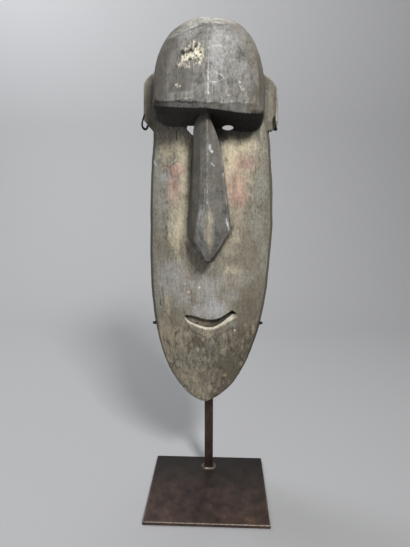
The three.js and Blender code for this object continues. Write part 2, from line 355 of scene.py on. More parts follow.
@dataclass(frozen=True)
class Patch:
    """A stain or worn place on the front: an ellipse with a ragged edge, in millimetres."""

    x: float
    z: float
    across: float
    along: float
    strength: float = 1.0
    ragged: float = 0.6

    def cover(self, points: np.ndarray, rough: np.ndarray) -> np.ndarray:
        """How far each point is covered.

        The distance in radii from the middle, plus noise, falls smoothly from full cover at 0.2
        to none at 1.5.

        Args:
            points: an (n, 3) array in millimetres.
            rough: an (n,) array of noise.

        Returns:
            An (n,) array from 0 to the patch's strength.
        """
        reach = np.hypot((points[:, 0] - self.x) / self.across, (points[:, 2] - self.z) / self.along)
        return self.strength * (1 - smooth(reach + self.ragged * rough, 0.2, 1.5))


@dataclass(frozen=True)
class Score:
    """A crack or a scratch along a broken line on the front, in millimetres."""

    course: tuple[Pair, ...]
    width: float
    strength: float = 1.0
    wander: float = 1.0

    def cover(self, points: np.ndarray, drift: np.ndarray) -> np.ndarray:
        """How near each point is to the line.

        Each point is first shifted by noise, so that a straight stretch wanders. Its distance to
        the nearest stretch then counts: 1 within 0.15 of the width, falling smoothly to 0 at it.

        Args:
            points: an (n, 3) array in millimetres.
            drift: an (n, 2) array of noise.

        Returns:
            An (n,) array from 0 to the line's strength.
        """
        flat = points[:, [0, 2]] + drift * self.wander
        nearest = np.full(len(flat), np.inf)
        for start, end in zip(self.course[:-1], self.course[1:]):
            a, b = np.array(start), np.array(end)
            share = np.clip((flat - a) @ (b - a) / ((b - a) @ (b - a)), 0, 1)
            nearest = np.minimum(nearest, np.linalg.norm(flat - a - share[:, None] * (b - a), axis=1))
        return self.strength * (1 - smooth(nearest, 0.15 * self.width, self.width))


def strongest(marks: tuple[Patch | Score, ...], points: np.ndarray, noise: np.ndarray) -> np.ndarray:
    """The strongest of several marks' covers at each point."""
    return np.max([mark.cover(points, noise) for mark in marks], axis=0)


def pitted(
    points: np.ndarray,
    pits: tuple[Triple, ...],
    noise: np.ndarray,
    squash: float,
    walls: Pair,
) -> np.ndarray:
    """Round pits, 1 inside and 0 outside.

    Args:
        points: an (n, 3) array in millimetres.
        pits: each pit's place across, its height and its radius.
        noise: an (n,) array that makes the edges ragged, in millimetres.
        squash: how much of a distance up or down counts.
        walls: the shares of the radius between which the pit's wall falls.

    Returns:
        An (n,) array.
    """
    deep = np.zeros(len(points))
    for x, z, radius in pits:
        far = np.hypot(points[:, 0] - x, (points[:, 2] - z) * squash) + noise
        deep = np.maximum(deep, 1 - smooth(far, walls[0] * radius, walls[1] * radius))
    return deep


@dataclass(frozen=True)
class Stain:
    """The patches of one tone, on the face board alone or on the whole front."""

    layer: str
    patches: tuple[Patch, ...]
    face_only: bool = True


def linear(colour: str) -> tuple[float, ...]:
    """Turns an sRGB hex colour into the linear colour a shader takes.

    Args:
        colour: such as "#8a8478".

    Returns:
        Red, green, blue and an alpha of 1.
    """
    parts = [int(colour[i : i + 2], 16) / 255 for i in (1, 3, 5)]
    return (*[p / 12.92 if p <= 0.04045 else ((p + 0.055) / 1.055) ** 2.4 for p in parts], 1.0)


def add(tree: Tree, kind: str, settings: dict, out: int | str = 0) -> Socket | None:
    """Adds a node with its settings and links.

    Args:
        tree: the material's nodes.
        kind: the node's type without its leading "ShaderNode".
        settings: by a property's name, or by an input's name or number, a value or the socket
            that feeds the input.
        out: which of its outputs is wanted.

    Returns:
        That output, or None where the node has none.
    """
    node = tree.nodes.new(f"ShaderNode{kind}")
    own = [key for key in settings if isinstance(key, str) and key in node.bl_rna.properties]
    for key in own:
        setattr(node, key, settings[key])
    for key in (key for key in settings if key not in own):
        if isinstance(settings[key], Socket):
            tree.links.new(settings[key], node.inputs[key])
        else:
            node.inputs[key].default_value = settings[key]
    return node.outputs[out] if node.outputs else None


def start_material(name: str) -> tuple[Material, Tree]:
    """Makes a material without any nodes.

    Args:
        name: the material's name.

    Returns:
        The material and its node tree.
    """
    material = bpy.data.materials.new(name)
    material.use_nodes = True
    material.node_tree.nodes.clear()
    return material, material.node_tree


def texture(tree: Tree, size: Triple, detail: float, roughness: float = 0.55) -> Socket:
    """A noise pattern whose features have a real size.

    Args:
        tree: the material's nodes.
        size: the pattern's feature size along X, Y and Z in millimetres.
        detail: how many finer layers it has.
        roughness: how strong the finer layers are.

    Returns:
        The pattern's output, about 0.2 to 0.8 with a mean of 0.5.
    """
    place = add(tree, "TexCoord", {}, "Object")
    place = add(tree, "Mapping", {"Scale": tuple(1 / (s * MM) for s in size), "Vector": place})
    noise = {"Scale": 1.0, "Detail": detail, "Roughness": roughness, "Vector": place}
    return add(tree, "TexNoise", noise, "Fac")


@dataclass(frozen=True)
class Layer:
    """One tone over the wood: where an attribute of the mesh puts it, broken up by noise."""

    attribute: str
    colour: str
    strength: float
    broken: float


@dataclass(frozen=True)
class WeatheredWood:
    """Old light hardwood, adzed and knife-cut, darkened by handling, with dry pigment and painted shade.

    The open grain and dust give the eye a dull grey-brown without shine, paler where the edges
    are rubbed. The grain is about 1 mm across in the real wood, finer than the picture shows,
    so it is drawn 2.4 mm across.
    """

    dark: str = "#474540"
    light: str = "#8a8781"
    roughness: float = 0.78
    grain: Triple = (2.4, 2.4, 28.0)
    streak: Triple = (8.0, 8.0, 90.0)
    mottle: Triple = (11.0, 11.0, 15.0)
    pore: Triple = (3.0, 3.0, 4.4)
    crackle: Triple = (13.0, 13.0, 24.0)
    vein: str = "#2e2a22"
    layers: tuple[Layer, ...] = (
        Layer("inside", "#5b4a3a", 0.75, 0.2),
        Layer("tan", "#847b69", 0.75, 0.36),
        Layer("umber", "#564e3f", 0.85, 0.32),
        Layer("moss", "#82847a", 0.7, 0.3),
        Layer("slate", "#a5a4a3", 0.8, 0.09),
        Layer("ochre", "#aca088", 0.75, 0.22),
        Layer("cream", "#cbbfa2", 0.8, 0.14),
        Layer("rose", "#bd9181", 0.72, 0.14),
        # pale wear on rubbed edges and the crown, and a painted highlight on the right ear's outer edge
        Layer("rubbed", "#b6b2a9", 0.7, 0.3),
        # a darker tone on the nose, and painted shade on the nose's left flank, the sides, the dome's turning
        # edges, the brow's lower band and left plane, the face's rim and the left ear
        Layer("dark_tone_and_shade", "#3f3b34", 0.85, 0.15),
        Layer("bare", "#d8d0b9", 0.9, 0.42),
        Layer("lip", "#d9d0bb", 0.85, 0.12),
        # pale scratches and chips, and painted highlights along the dome's ridge, the nose's ridge and its
        # right edge
        Layer("chalk_and_highlights", "#dddcda", 0.85, 0.12),
        # grime and painted shade: hollows, the mouth's pocket under its upper lip, a line under the brow band
        # and beside the nose
        Layer("grime_and_shade", "#2c2822", 0.85, 0.2),
        # painted shade: near black under the brow, and the brow's painted shadow on the face below the crease
        Layer("painted_brow_shade", "#12110e", 0.97, 0.05),
        Layer("crack", "#221e19", 0.95, 0.1),
    )

    def make(self) -> Material:
        """Builds the material.

        Returns:
            The material.
        """
        material, tree = start_material("weathered_wood")
        grain = texture(tree, self.grain, 3.0)
        streak = texture(tree, self.streak, 3.0)
        mottle = texture(tree, self.mottle, 6.0, 0.65)
        pore = texture(tree, self.pore, 2.0)
        tone = add(tree, "Math", {"operation": "MULTIPLY", 0: streak, 1: streak})
        for weight, pattern in ((0.4, grain), (1.4, mottle), (0.9, pore)):
            tone = add(tree, "Math", {"operation": "MULTIPLY_ADD", 0: pattern, 1: weight, 2: tone})
        share = add(tree, "MapRange", {"Value": tone, "From Min": 1.12, "From Max": 2.1})
        ends = {6: linear(self.dark), 7: linear(self.light)}
        colour = add(tree, "Mix", {"data_type": "RGBA", 0: share, **ends}, 2)
        flecks = []
        for one, other, part in ((mottle, pore, 0.6), (grain, pore, 0.6), (mottle, grain, 0.5)):
            rest = add(tree, "Math", {"operation": "MULTIPLY", 0: other, 1: 1 - part})
            flecks.append(add(tree, "Math", {"operation": "MULTIPLY_ADD", 0: one, 1: part, 2: rest}))
        for number, layer in enumerate(self.layers):
            place = add(tree, "Attribute", {"attribute_name": layer.attribute}, "Fac")
            gate = add(tree, "Math", {"operation": "MULTIPLY", "use_clamp": True, 0: place, 1: 4.0})
            broken = {0: flecks[number % len(flecks)], 1: layer.broken * 10, 2: -layer.broken * 5}
            rough = add(tree, "Math", {"operation": "MULTIPLY_ADD", **broken})
            cover = add(tree, "Math", {"operation": "MULTIPLY_ADD", 0: rough, 1: 1.0, 2: place})
            cover = add(tree, "Math", {"operation": "MULTIPLY", "use_clamp": True, 0: cover, 1: gate})
            share = add(tree, "Math", {"operation": "MULTIPLY", 0: cover, 1: layer.strength})
            colour = add(tree, "Mix", {"data_type": "RGBA", 0: share, 6: colour, 7: linear(layer.colour)}, 2)
        colour = self.veined(tree, colour, mottle)
        speck = add(tree, "Math", {"operation": "MULTIPLY_ADD", 0: grain, 1: 0.4, 2: pore})
        speck = add(tree, "Math", {"operation": "MULTIPLY_ADD", 0: mottle, 1: 0.9, 2: speck})
        ranges = {"From Min": 0.85, "From Max": 1.45, "To Min": 0.83, "To Max": 1.17}
        speck = add(tree, "MapRange", {"Value": speck, **ranges})
        specked = {"data_type": "RGBA", "blend_type": "MULTIPLY", 0: 1.0, 6: colour, 7: speck}
        height = add(tree, "Math", {"operation": "MULTIPLY_ADD", 0: pore, 1: 0.5, 2: grain})
        ranges = {"To Min": self.roughness - 0.12, "To Max": self.roughness + 0.14}
        shader = add(tree, "BsdfPrincipled", {
            "Base Color": add(tree, "Mix", specked, 2),
            "Roughness": add(tree, "MapRange", {"Value": mottle, **ranges}),
            "Specular IOR Level": 0.35,
            "Normal": add(tree, "Bump", {"Strength": 0.45, "Distance": 0.8 * MM, "Height": height}),
        })
        add(tree, "OutputMaterial", {"Surface": shader})
        return material

    def veined(self, tree: Tree, colour: Socket, wobble: Socket) -> Socket:
        """Adds the dark veins of a dried, crazed surface where the mesh's "veins" attribute is.

        Args:
            tree: the material's nodes.
            colour: the colour under the veins.
            wobble: a pattern that breaks the veins.

        Returns:
            The colour with its veins.
        """
        place = add(tree, "TexCoord", {}, "Object")
        place = add(tree, "Mapping", {"Scale": tuple(1 / (s * MM) for s in self.crackle), "Vector": place})
        noise = add(tree, "TexNoise", {"Scale": 1.7, "Detail": 4.0, "Vector": place}, "Color")
        shift = add(tree, "VectorMath", {"operation": "SCALE", "Scale": 1.5, 0: noise})
        bent = add(tree, "VectorMath", {"operation": "ADD", 0: place, 1: shift})
        edges = {"feature": "DISTANCE_TO_EDGE", "Scale": 1.0, "Vector": bent}
        near = add(tree, "TexVoronoi", edges, "Distance")
        ranges = {"From Min": 0.0, "From Max": 0.11, "To Min": 1.0, "To Max": 0.0}
        near = add(tree, "MapRange", {"Value": near, **ranges})
        gap = {"operation": "MULTIPLY_ADD", "use_clamp": True, 0: wobble, 1: 6.0, 2: -2.7}
        near = add(tree, "Math", {"operation": "MULTIPLY", 0: near, 1: add(tree, "Math", gap)})
        veins = add(tree, "Attribute", {"attribute_name": "veins"}, "Fac")
        share = add(tree, "Math", {"operation": "MULTIPLY", 0: near, 1: veins})
        share = add(tree, "Math", {"operation": "MULTIPLY", "use_clamp": True, 0: share, 1: 0.9})
        return add(tree, "Mix", {"data_type": "RGBA", 0: share, 6: colour, 7: linear(self.vein)}, 2)


@dataclass(frozen=True)
class PatinatedSteel:
    """Mild steel, darkened with a brown patina and waxed.

    The wax gives the eye a satin sheen, and the patina cloudy patches of rust brown about
    30 mm across in a near-black brown.
    """

    name: str = "patinated_steel"
    dark: str = "#272423"
    rust: str = "#644d42"
    metallic: float = 0.6
    roughness: float = 0.4
    cloud: Triple = (26.0, 26.0, 60.0)
    grit: Triple = (2.4, 2.4, 2.4)
    swell: Triple = (60.0, 60.0, 60.0)
    speck: str = "#83796f"
    bright: str = "#94897d"
    dull: str = "#1f1d1b"
    residue: str = "#8d8a82"
    glint_tint: str = "#8a6850"
    glint: Pair = (72, -78)

    def make(self, weld: Triple | None = None) -> Material:
        """Builds the material.

        Args:
            weld: the middle of a pale ring of weld residue in millimetres, or None, which also brings a
                darkening towards the back and a painted glint.

        Returns:
            The material.
        """
        material, tree = start_material(self.name)
        cloud = texture(tree, self.cloud, 6.0, 0.65)
        grit = texture(tree, self.grit, 4.0, 0.6)
        swell = texture(tree, self.swell, 2.0)
        share = add(tree, "MapRange", {"Value": cloud, "From Min": 0.28, "From Max": 0.8})
        ends = {6: linear(self.dark), 7: linear(self.rust)}
        colour = add(tree, "Mix", {"data_type": "RGBA", 0: share, **ends}, 2)
        specks = add(tree, "Math", {"operation": "MULTIPLY_ADD", 0: cloud, 1: 0.35, 2: grit})
        specks = add(tree, "MapRange", {"Value": specks, "From Min": 0.82, "From Max": 0.98})
        # worn edges are painted pale; along the plate's upper edge the pale line is also a painted highlight
        worn = add(tree, "Attribute", {"attribute_name": "worn"}, "Fac")
        broken = add(tree, "Math", {"operation": "MULTIPLY_ADD", 0: grit, 1: 3.0, 2: -0.7})
        worn = add(tree, "Math", {"operation": "MULTIPLY", "use_clamp": True, 0: worn, 1: broken})
        covers = [(specks, self.speck), (worn, self.bright)]
        if weld is not None:
            # the plate is painted darker towards the back
            depth = add(tree, "SeparateXYZ", {0: add(tree, "TexCoord", {}, "Object")}, "Y")
            ranges = {"From Min": -60 * MM, "From Max": 70 * MM, "To Max": 0.9}
            covers.append((add(tree, "MapRange", {"Value": depth, **ranges}), self.dull))
            covers.append((self.spot(tree, grit, weld, 9, 15.5), self.residue))
            # a painted glint: a copper-coloured reflection on a shiny worn spot at the plate's right front
            covers.append((self.spot(tree, grit, (*self.glint, weld[2]), -6, 12), self.glint_tint))
        for share, tint in covers:
            colour = add(tree, "Mix", {"data_type": "RGBA", 0: share, 6: colour, 7: linear(tint)}, 2)
        ranges = {"From Min": 0.3, "From Max": 0.7}
        ranges |= {"To Min": self.roughness - 0.08, "To Max": self.roughness + 0.14}
        height = add(tree, "Math", {"operation": "MULTIPLY_ADD", 0: swell, 1: 8.0, 2: grit})
        shader = add(tree, "BsdfPrincipled", {
            "Base Color": colour,
            "Metallic": self.metallic,
            "Roughness": add(tree, "MapRange", {"Value": cloud, **ranges}),
            "Normal": add(tree, "Bump", {"Strength": 0.25, "Distance": 0.2 * MM, "Height": height}),
        })
        add(tree, "OutputMaterial", {"Surface": shader})
        return material

    @staticmethod
    def spot(tree: Tree, grit: Socket, middle: Triple, full: float, gone: float) -> Socket:
        """A spot broken by grit.

        Args:
            tree: the material's nodes.
            grit: the pattern that breaks it.
            middle: its middle, in millimetres.
            full: how far from its middle it is full.
            gone: how far from its middle it ends.

        Returns:
            The spot's share at each place.
        """
        place = add(tree, "TexCoord", {}, "Object")
        far = {"operation": "DISTANCE", 0: place, 1: tuple(m * MM for m in middle)}
        ranges = {"From Min": full * MM, "From Max": gone * MM, "To Min": 1.1, "To Max": 0.0}
        near = add(tree, "MapRange", {"Value": add(tree, "VectorMath", far, "Value"), **ranges})
        broken = add(tree, "Math", {"operation": "MULTIPLY_ADD", 0: grit, 1: 4.0, 2: -1.3})
        return add(tree, "Math", {"operation": "MULTIPLY", "use_clamp": True, 0: near, 1: broken})


@dataclass(frozen=True)
class StudioPaper:
    """A seamless sheet of pale matt paper. It gives the eye an even, quiet ground."""

    colour: str = "#a6a6a6"
    roughness: float = 0.9

    def make(self) -> Material:
        """Builds the material.

        Returns:
            The material.
        """
        material, tree = start_material("studio_paper")
        matt = {"Base Color": linear(self.colour), "Roughness": self.roughness, "Specular IOR Level": 0.2}
        add(tree, "OutputMaterial", {"Surface": add(tree, "BsdfPrincipled", matt)})
        return material


def finish_piece(made: Object, material: Material, slot: Slot, *nodes: str) -> None:
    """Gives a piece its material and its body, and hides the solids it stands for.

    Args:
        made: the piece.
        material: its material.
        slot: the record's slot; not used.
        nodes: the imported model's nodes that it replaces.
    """
    made.data.materials.clear()
    made.data.materials.append(material)
    made.data.shade_smooth()
    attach(made, "root")
    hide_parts(*nodes)
    log.info("%s: %d faces", made.name, len(made.data.polygons))


@dataclass
class Face:
    """The face board's outline and its crowned front."""

    rim_y: float = 46
    chin_z: float = 175
    widest_z: float = 475
    crease_z: float = 624
    half_width: float = 97.8
    crease_narrowing: float = 9.2
    crown: float = 22
    chin_set_back: float = 16
    edge_y: float = -8
    bevel: float = 5
    taper: float = 4
    wall: float = 14
    chin_lean: float = -5.5
    cheek_lean: float = 4.8
    dome_lean: float = 1.5

    def half(self, z: np.ndarray, dome: "Dome") -> np.ndarray:
        """Half the face's width at each height.

        A power curve rounds the chin up to the widest height; from there the sides draw in
        slightly to the crease and then follow the dome, 1 mm inside it.

        Args:
            z: heights.
            dome: the dome the board runs up behind.

        Returns:
            Half widths.
        """
        share = np.clip((z - self.chin_z) / (self.widest_z - self.chin_z), 0, 1)
        chin = self.half_width * np.sqrt(1 - (1 - share) ** 2.4)
        rise = np.clip((z - self.widest_z) / (self.crease_z - self.widest_z), 0, 1)
        cheek = self.half_width - self.crease_narrowing * rise**1.8
        at_crease = self.half_width - self.crease_narrowing
        turn = blend(at_crease, dome.half_width - 1, smooth(z, self.crease_z, dome.middle_z))
        behind = np.maximum(0.5, dome.half(z) - 1)
        below = np.where(z < self.widest_z, chin, cheek)
        return np.where(z < self.crease_z, below, np.where(z < dome.middle_z, turn, behind))

    def middle(self, z: np.ndarray) -> np.ndarray:
        """How far the middle line leans to the right of the ridge at each height."""
        lean = blend(self.chin_lean, self.cheek_lean, np.clip((z - 190) / 290, 0, 1))
        return blend(lean, self.dome_lean, smooth(z, 600, 665))

    def edge(self, z: np.ndarray) -> np.ndarray:
        """The depth of the front's edge: it draws back towards the chin."""
        return self.edge_y + self.chin_set_back * (1 - smooth(z, self.chin_z - 40, self.chin_z + 170))

    def front(self, x: np.ndarray, z: np.ndarray, dome: "Dome") -> np.ndarray:
        """The front's depth.

        The crown falls off as the power 2.2 of the share of the way out to the edge, and is
        lower at the chin and behind the dome.

        Args:
            x: places across.
            z: heights.
            dome: the dome above.

        Returns:
            Depths.
        """
        across = np.clip(np.abs(x - self.middle(z)) / self.half(z, dome), 0, 1)
        low = blend(0.35, 1, smooth(z, self.chin_z, self.chin_z + 130))
        crown = self.crown * low * (1 - smooth(z, 690, 750))
        return self.edge(z) - crown * (1 - across**2.2)


@dataclass
class Dome:
    """The brow: a dome that overhangs the eyes, with two front planes that meet in a ridge."""

    x: float = 1.5
    half_width: float = 82
    middle_z: float = 665
    rise: float = 116
    drop: float = 41
    bottom_z: float = 652
    front_y: float = -88
    slope: float = 0.27
    set_back: float = 45
    top_power: float = 2.3
    foot_power: float = 4
    brow_power: float = 7
    brow_tilt: float = -0.085
    brow_depth: float = 4.5
    arch_steps: int = 110
    foot_steps: int = 90
    scallops: tuple[Pair, ...] = (
        (-72, 0), (-50, 1.2), (-34, 3.4), (-22, 4.4), (-8, 1.2), (0, 0.6), (8, 2.6), (14, 3.4),
        (21, 2.0), (30, 4.6), (38, 6.2), (48, 6.4), (60, 7.2), (74, 4.0),
    )
    cuts: tuple[tuple[Triple, float, float], ...] = (
        ((-42, -48.3, 749), 0.448, 0.796),
        ((-4, -54, 761.5), -0.11, 0.6),
        ((0, -26, 778), 0.0, -0.3),
    )

    def above_cuts(self, points: np.ndarray) -> np.ndarray:
        """How high each point is above the nearest of the crown's cut planes.

        Args:
            points: an (n, 3) array in millimetres.

        Returns:
            An (n,) array in millimetres, 0 on a cut and less below it.
        """
        x, y, z = points.T
        heights = [z - at[2] - across * (x - at[0]) - back * (y - at[1]) for at, across, back in self.cuts]
        return np.max(heights, axis=0)

    def half(self, z: np.ndarray) -> np.ndarray:
        """Half the dome's width: a blunt power curve above its middle and a squarer one below.

        Args:
            z: heights.

        Returns:
            Half widths.
        """
        above = z > self.middle_z
        share = np.abs(z - self.middle_z) / np.where(above, self.rise, self.drop)
        power = np.where(above, self.top_power, self.foot_power)
        return self.half_width * np.maximum(0, 1 - share**power) ** (1 / power)

    def ridge(self, z: np.ndarray) -> np.ndarray:
        """The depth of the ridge, from the brow up over the crown."""
        share = np.clip((z - self.bottom_z) / (self.middle_z + self.rise - self.bottom_z), 0, 1)
        return self.front_y + self.set_back * share**1.72

    def ring(
        self,
        across: float,
        up: float,
        down: float,
        power: float,
        depths: tuple[float, float, float | None] | None,
        inward: float = 1,
    ) -> np.ndarray:
        """One outline of the dome.

        The arch is a superellipse of the top power, and the foot another of the given power,
        spaced by cosine so that its corners are round. Depth runs from the side's value to the
        top's or the foot's by the power 1.5 of how far the outline has turned.

        Args:
            across: half its width.
            up: its rise above the middle height.
            down: its fall below it.
            power: the foot's squareness.
            depths: the depth at the side, the top and the foot, where None is the brow's edge;
                or None for an outline on the two front planes.
            inward: how far a front outline is drawn towards the ridge, 1 for not at all.

        Returns:
            An (n, 3) array.
        """
        turn = np.pi * np.arange(self.arch_steps + 1) / self.arch_steps
        arch_x = across * signed_power(np.cos(turn), 2 / self.top_power)
        arch_turn = np.sin(turn).clip(0)
        arch_z = self.middle_z + up * arch_turn ** (2 / self.top_power)
        share = -np.cos(np.pi * np.arange(1, self.foot_steps) / self.foot_steps)
        fall = (1 - np.abs(share) ** power) ** (1 / power)
        foot_x = across * share
        tilt = self.brow_tilt * foot_x * fall if inward == 1 else 0
        foot_z = self.middle_z - down * fall + tilt
        x = np.concatenate([arch_x, foot_x])
        z = np.concatenate([arch_z, foot_z])
        if depths is None:
            wave = along(foot_x, self.scallops) * fall
            z[len(arch_x) :] += wave if inward == 1 else 0
            return np.stack([x * inward, self.ridge(z) + self.slope * np.abs(x) * inward, z], -1)
        side, top, foot = depths
        brow = self.front_y + self.slope * np.abs(foot_x) + self.brow_depth
        under = brow if foot is None else np.full(len(foot_x), foot)
        end = np.concatenate([np.full(len(arch_x), top), under])
        turned = np.concatenate([arch_turn, fall])
        return np.stack([x + self.x, blend(side, end, turned**1.5), z], -1)

    def solid(self) -> Shell:
        """The whole dome, from inside the board to the ridge.

        Returns:
            The closed shell.
        """
        half, up, down = self.half_width, self.rise, self.drop
        front = (half - 11, up - 8, self.middle_z - self.bottom_z, self.brow_power)
        outlines = [
            self.ring(half, up, down, self.foot_power, (14, 14, 0)),
            self.ring(half, up, down, self.foot_power, (-6, 0, -22)),
            self.ring(half - 1, up, 25, 5, (-30, -14, -50)),
            self.ring(half - 4, up - 5, 20, self.brow_power, (-50, -36, None)),
            self.ring(*front, None),
            self.ring(*front, None, 0.01),
        ]
        return loft(between(np.array(outlines), 8))


@dataclass
class Nose:
    """The nose: an arrow with a sharp ridge, a flat on its lower ridge and a blunt tip."""

    top_z: float = 646
    arch_z: float = 588
    right_corner_z: float = 480
    left_corner_z: float = 467
    tip_z: float = 435
    tip_x: float = 2.5
    root_y: float = -15
    extra_z: tuple[float, ...] = (500, 520, 553, 612, 634, 640)
    ridge: tuple[Pair, ...] = ((435, -61), (460, -71), (486, -76), (520, -74), (646, -68))
    shoulder: tuple[Pair, ...] = ((435, 1), (466, 19), (496, 13.3), (525, 9.6), (552, 9), (646, 9))

    def solid(self) -> Shell:
        """Sections of seven corners from the tip up to the underside of the brow.

        Each corner's place is a broken line over height, closed to nothing at the tip by a
        power of 0.9 and narrowed under the brow by powers of the share of the arch. The left
        shoulder stands 1.8 mm proud of the straight line from the ridge to the left corner.

        Returns:
            The closed shell.
        """
        corners = [self.tip_z, self.left_corner_z, self.right_corner_z, self.arch_z, *self.extra_z]
        z = np.unique(np.concatenate([np.linspace(self.tip_z, self.top_z, 90), corners]))
        arch = np.clip((z - self.arch_z) / (self.top_z - self.arch_z), 0, 0.97)
        close_right = np.clip((z - self.tip_z) / (self.right_corner_z - self.tip_z), 0, 1) ** 0.9
        close_left = np.clip((z - self.tip_z) / (self.left_corner_z - self.tip_z), 0, 1) ** 0.9
        right = blend(5, np.interp(z, [480, 588], [34.5, 20]), close_right) * (1 - arch**1.4)
        left = blend(1, np.interp(z, [500, 610], [22, 19.5]), close_left) * (1 - arch**7)
        left_foot = blend(5, np.interp(z, [470, 553, 615], [36, 26, 24]), close_left) * (1 - arch**6)
        ridge_y = along(z, self.ridge)
        flat = np.interp(z, [435, 480, 520], [2, 5.5, 0.8]) * (1 - arch)
        ridge_x = self.tip_x * (1 - np.clip((z - self.tip_z) / 90, 0, 1))
        root = np.full(len(z), self.root_y)
        left_x, left_y = np.minimum(-left, ridge_x - flat - 0.4), ridge_y + 0.7 * left
        shoulder = -along(z, self.shoulder)
        shoulder = np.clip(shoulder, left_x + 0.2, ridge_x - flat - 0.2)
        share = (ridge_x - flat - shoulder) / (ridge_x - flat - left_x)
        proud = 7.2 * share * (1 - share)
        rings = [
            [-left_foot, root, z],
            [left_x, left_y, z],
            [shoulder, blend(ridge_y, left_y, share) - proud, z],
            [ridge_x - flat, ridge_y, z],
            [ridge_x + flat, ridge_y, z],
            [np.maximum(right, ridge_x + flat + 0.2), ridge_y + 0.55 * right, z],
            [right + 1, root, z],
        ]
        return loft(np.moveaxis(np.array(rings), 2, 0))


@dataclass
class Ear:
    """One ear: a plate with a sloping shoulder and a cut lower corner."""

    side: int
    reach: float
    bottom: float
    top: float
    shoulder: float
    cut_width: float
    cut_height: float
    inner: float = 74
    outer: float = 79
    front_y: float = -8
    back_y: float = 5

    def solid(self) -> Shell:
        """The outline carried straight from the back to the front.

        The shoulder is a quadratic curve. The left ear's outline runs the other way round, so
        that both face outwards.

        Returns:
            The closed shell.
        """
        turn = np.linspace(0, 1, 12)[:, None]
        start = np.array([self.reach - 1, self.top - self.shoulder])
        bend = np.array([self.reach - 4, self.top - self.shoulder * 0.45])
        end = np.array([self.outer, self.top])
        curve = (1 - turn) ** 2 * start + 2 * turn * (1 - turn) * bend + turn**2 * end
        foot = [[self.inner, self.bottom], [self.reach - self.cut_width, self.bottom]]
        corner = [self.reach, self.bottom + self.cut_height]
        outline = np.concatenate([[*foot, corner], curve, [[self.inner, self.top]]])
        if self.side < 0:
            outline = outline[::-1]
        depths = np.array([self.back_y, self.front_y])
        x = np.broadcast_to(self.side * outline[:, 0], (2, len(outline)))
        z = np.broadcast_to(outline[:, 1], (2, len(outline)))
        y = np.broadcast_to(depths[:, None], x.shape)
        return loft(np.stack([x, y, z], -1))


@dataclass
class Mouth:
    """The mouth: a crescent pocket with a sloping lower lip, narrow at the left, broad at the right."""

    lower_lip: tuple[Pair, ...] = (
        (-36, 335.4), (-30, 328.4), (-20.5, 323.4), (-10, 319.9), (1, 318.1), (10.5, 318.8), (18.5, 321.3),
        (25, 324.6), (33, 329.4), (39, 333.2), (45.5, 338),
    )
    upper_lip: tuple[Pair, ...] = (
        (-36, 340), (-30, 340.8), (-23, 339.9), (-15, 337.5), (-3, 334.3), (6, 333.8), (17, 335.8),
        (27.5, 341.2), (35, 346), (40, 348.4), (45.5, 344),
    )
    left_depth: float = 5.5
    right_depth: float = 9
    lip_depth: float = 3
    outside: float = -8
    steps: int = 72
    steps_read: int = 120

    def lower(self, x: np.ndarray) -> np.ndarray:
        """The height of the lower lip's outer edge."""
        return along(x, spline(self.lower_lip, self.steps_read))

    def upper(self, x: np.ndarray) -> np.ndarray:
        """The height of the upper lip's edge."""
        return along(x, spline(self.upper_lip, self.steps_read))

    def lip_share(self, x: np.ndarray) -> np.ndarray:
        """The share of the opening's height that the lower lip's slope takes up."""
        return blend(0.14, 0.6, smooth(x, 4, 44))

    def solid(self, face: Face, dome: Dome) -> Shell:
        """The cutter from its floor out past the face.

        Its outline runs along the lower lip and back along the upper one. Inside, the lower edge
        rises by the lip's share, and the floor falls smoothly from the left depth to the right.

        Args:
            face: the face it is cut into.
            dome: the dome above.

        Returns:
            The cutter.
        """
        lower, upper = spline(self.lower_lip, self.steps), spline(self.upper_lip, self.steps)
        share = self.lip_share(lower[:, :1])
        rings = []
        for part, depth in ((1.1, None), (1, self.lip_depth), (0, 0), (0, self.outside)):
            x, z = np.concatenate([blend(lower, upper, part * share), upper[::-1]]).T
            if depth is None:
                depth = blend(self.left_depth, self.right_depth, smooth(x, -20, 15))
            rings.append(np.stack([x, face.front(x, z, dome) + depth, z], -1))
        return loft(between(np.array(rings), 3))


@dataclass
class Marks:
    """What the relief leaves at each point of the mask, each an (n,) array."""

    front: np.ndarray
    back: np.ndarray
    rough: np.ndarray
    fine: np.ndarray
    fibre: np.ndarray
    crown: np.ndarray
    worm: np.ndarray
    holes: np.ndarray
    crack: np.ndarray
    scratch: np.ndarray
    chip: np.ndarray


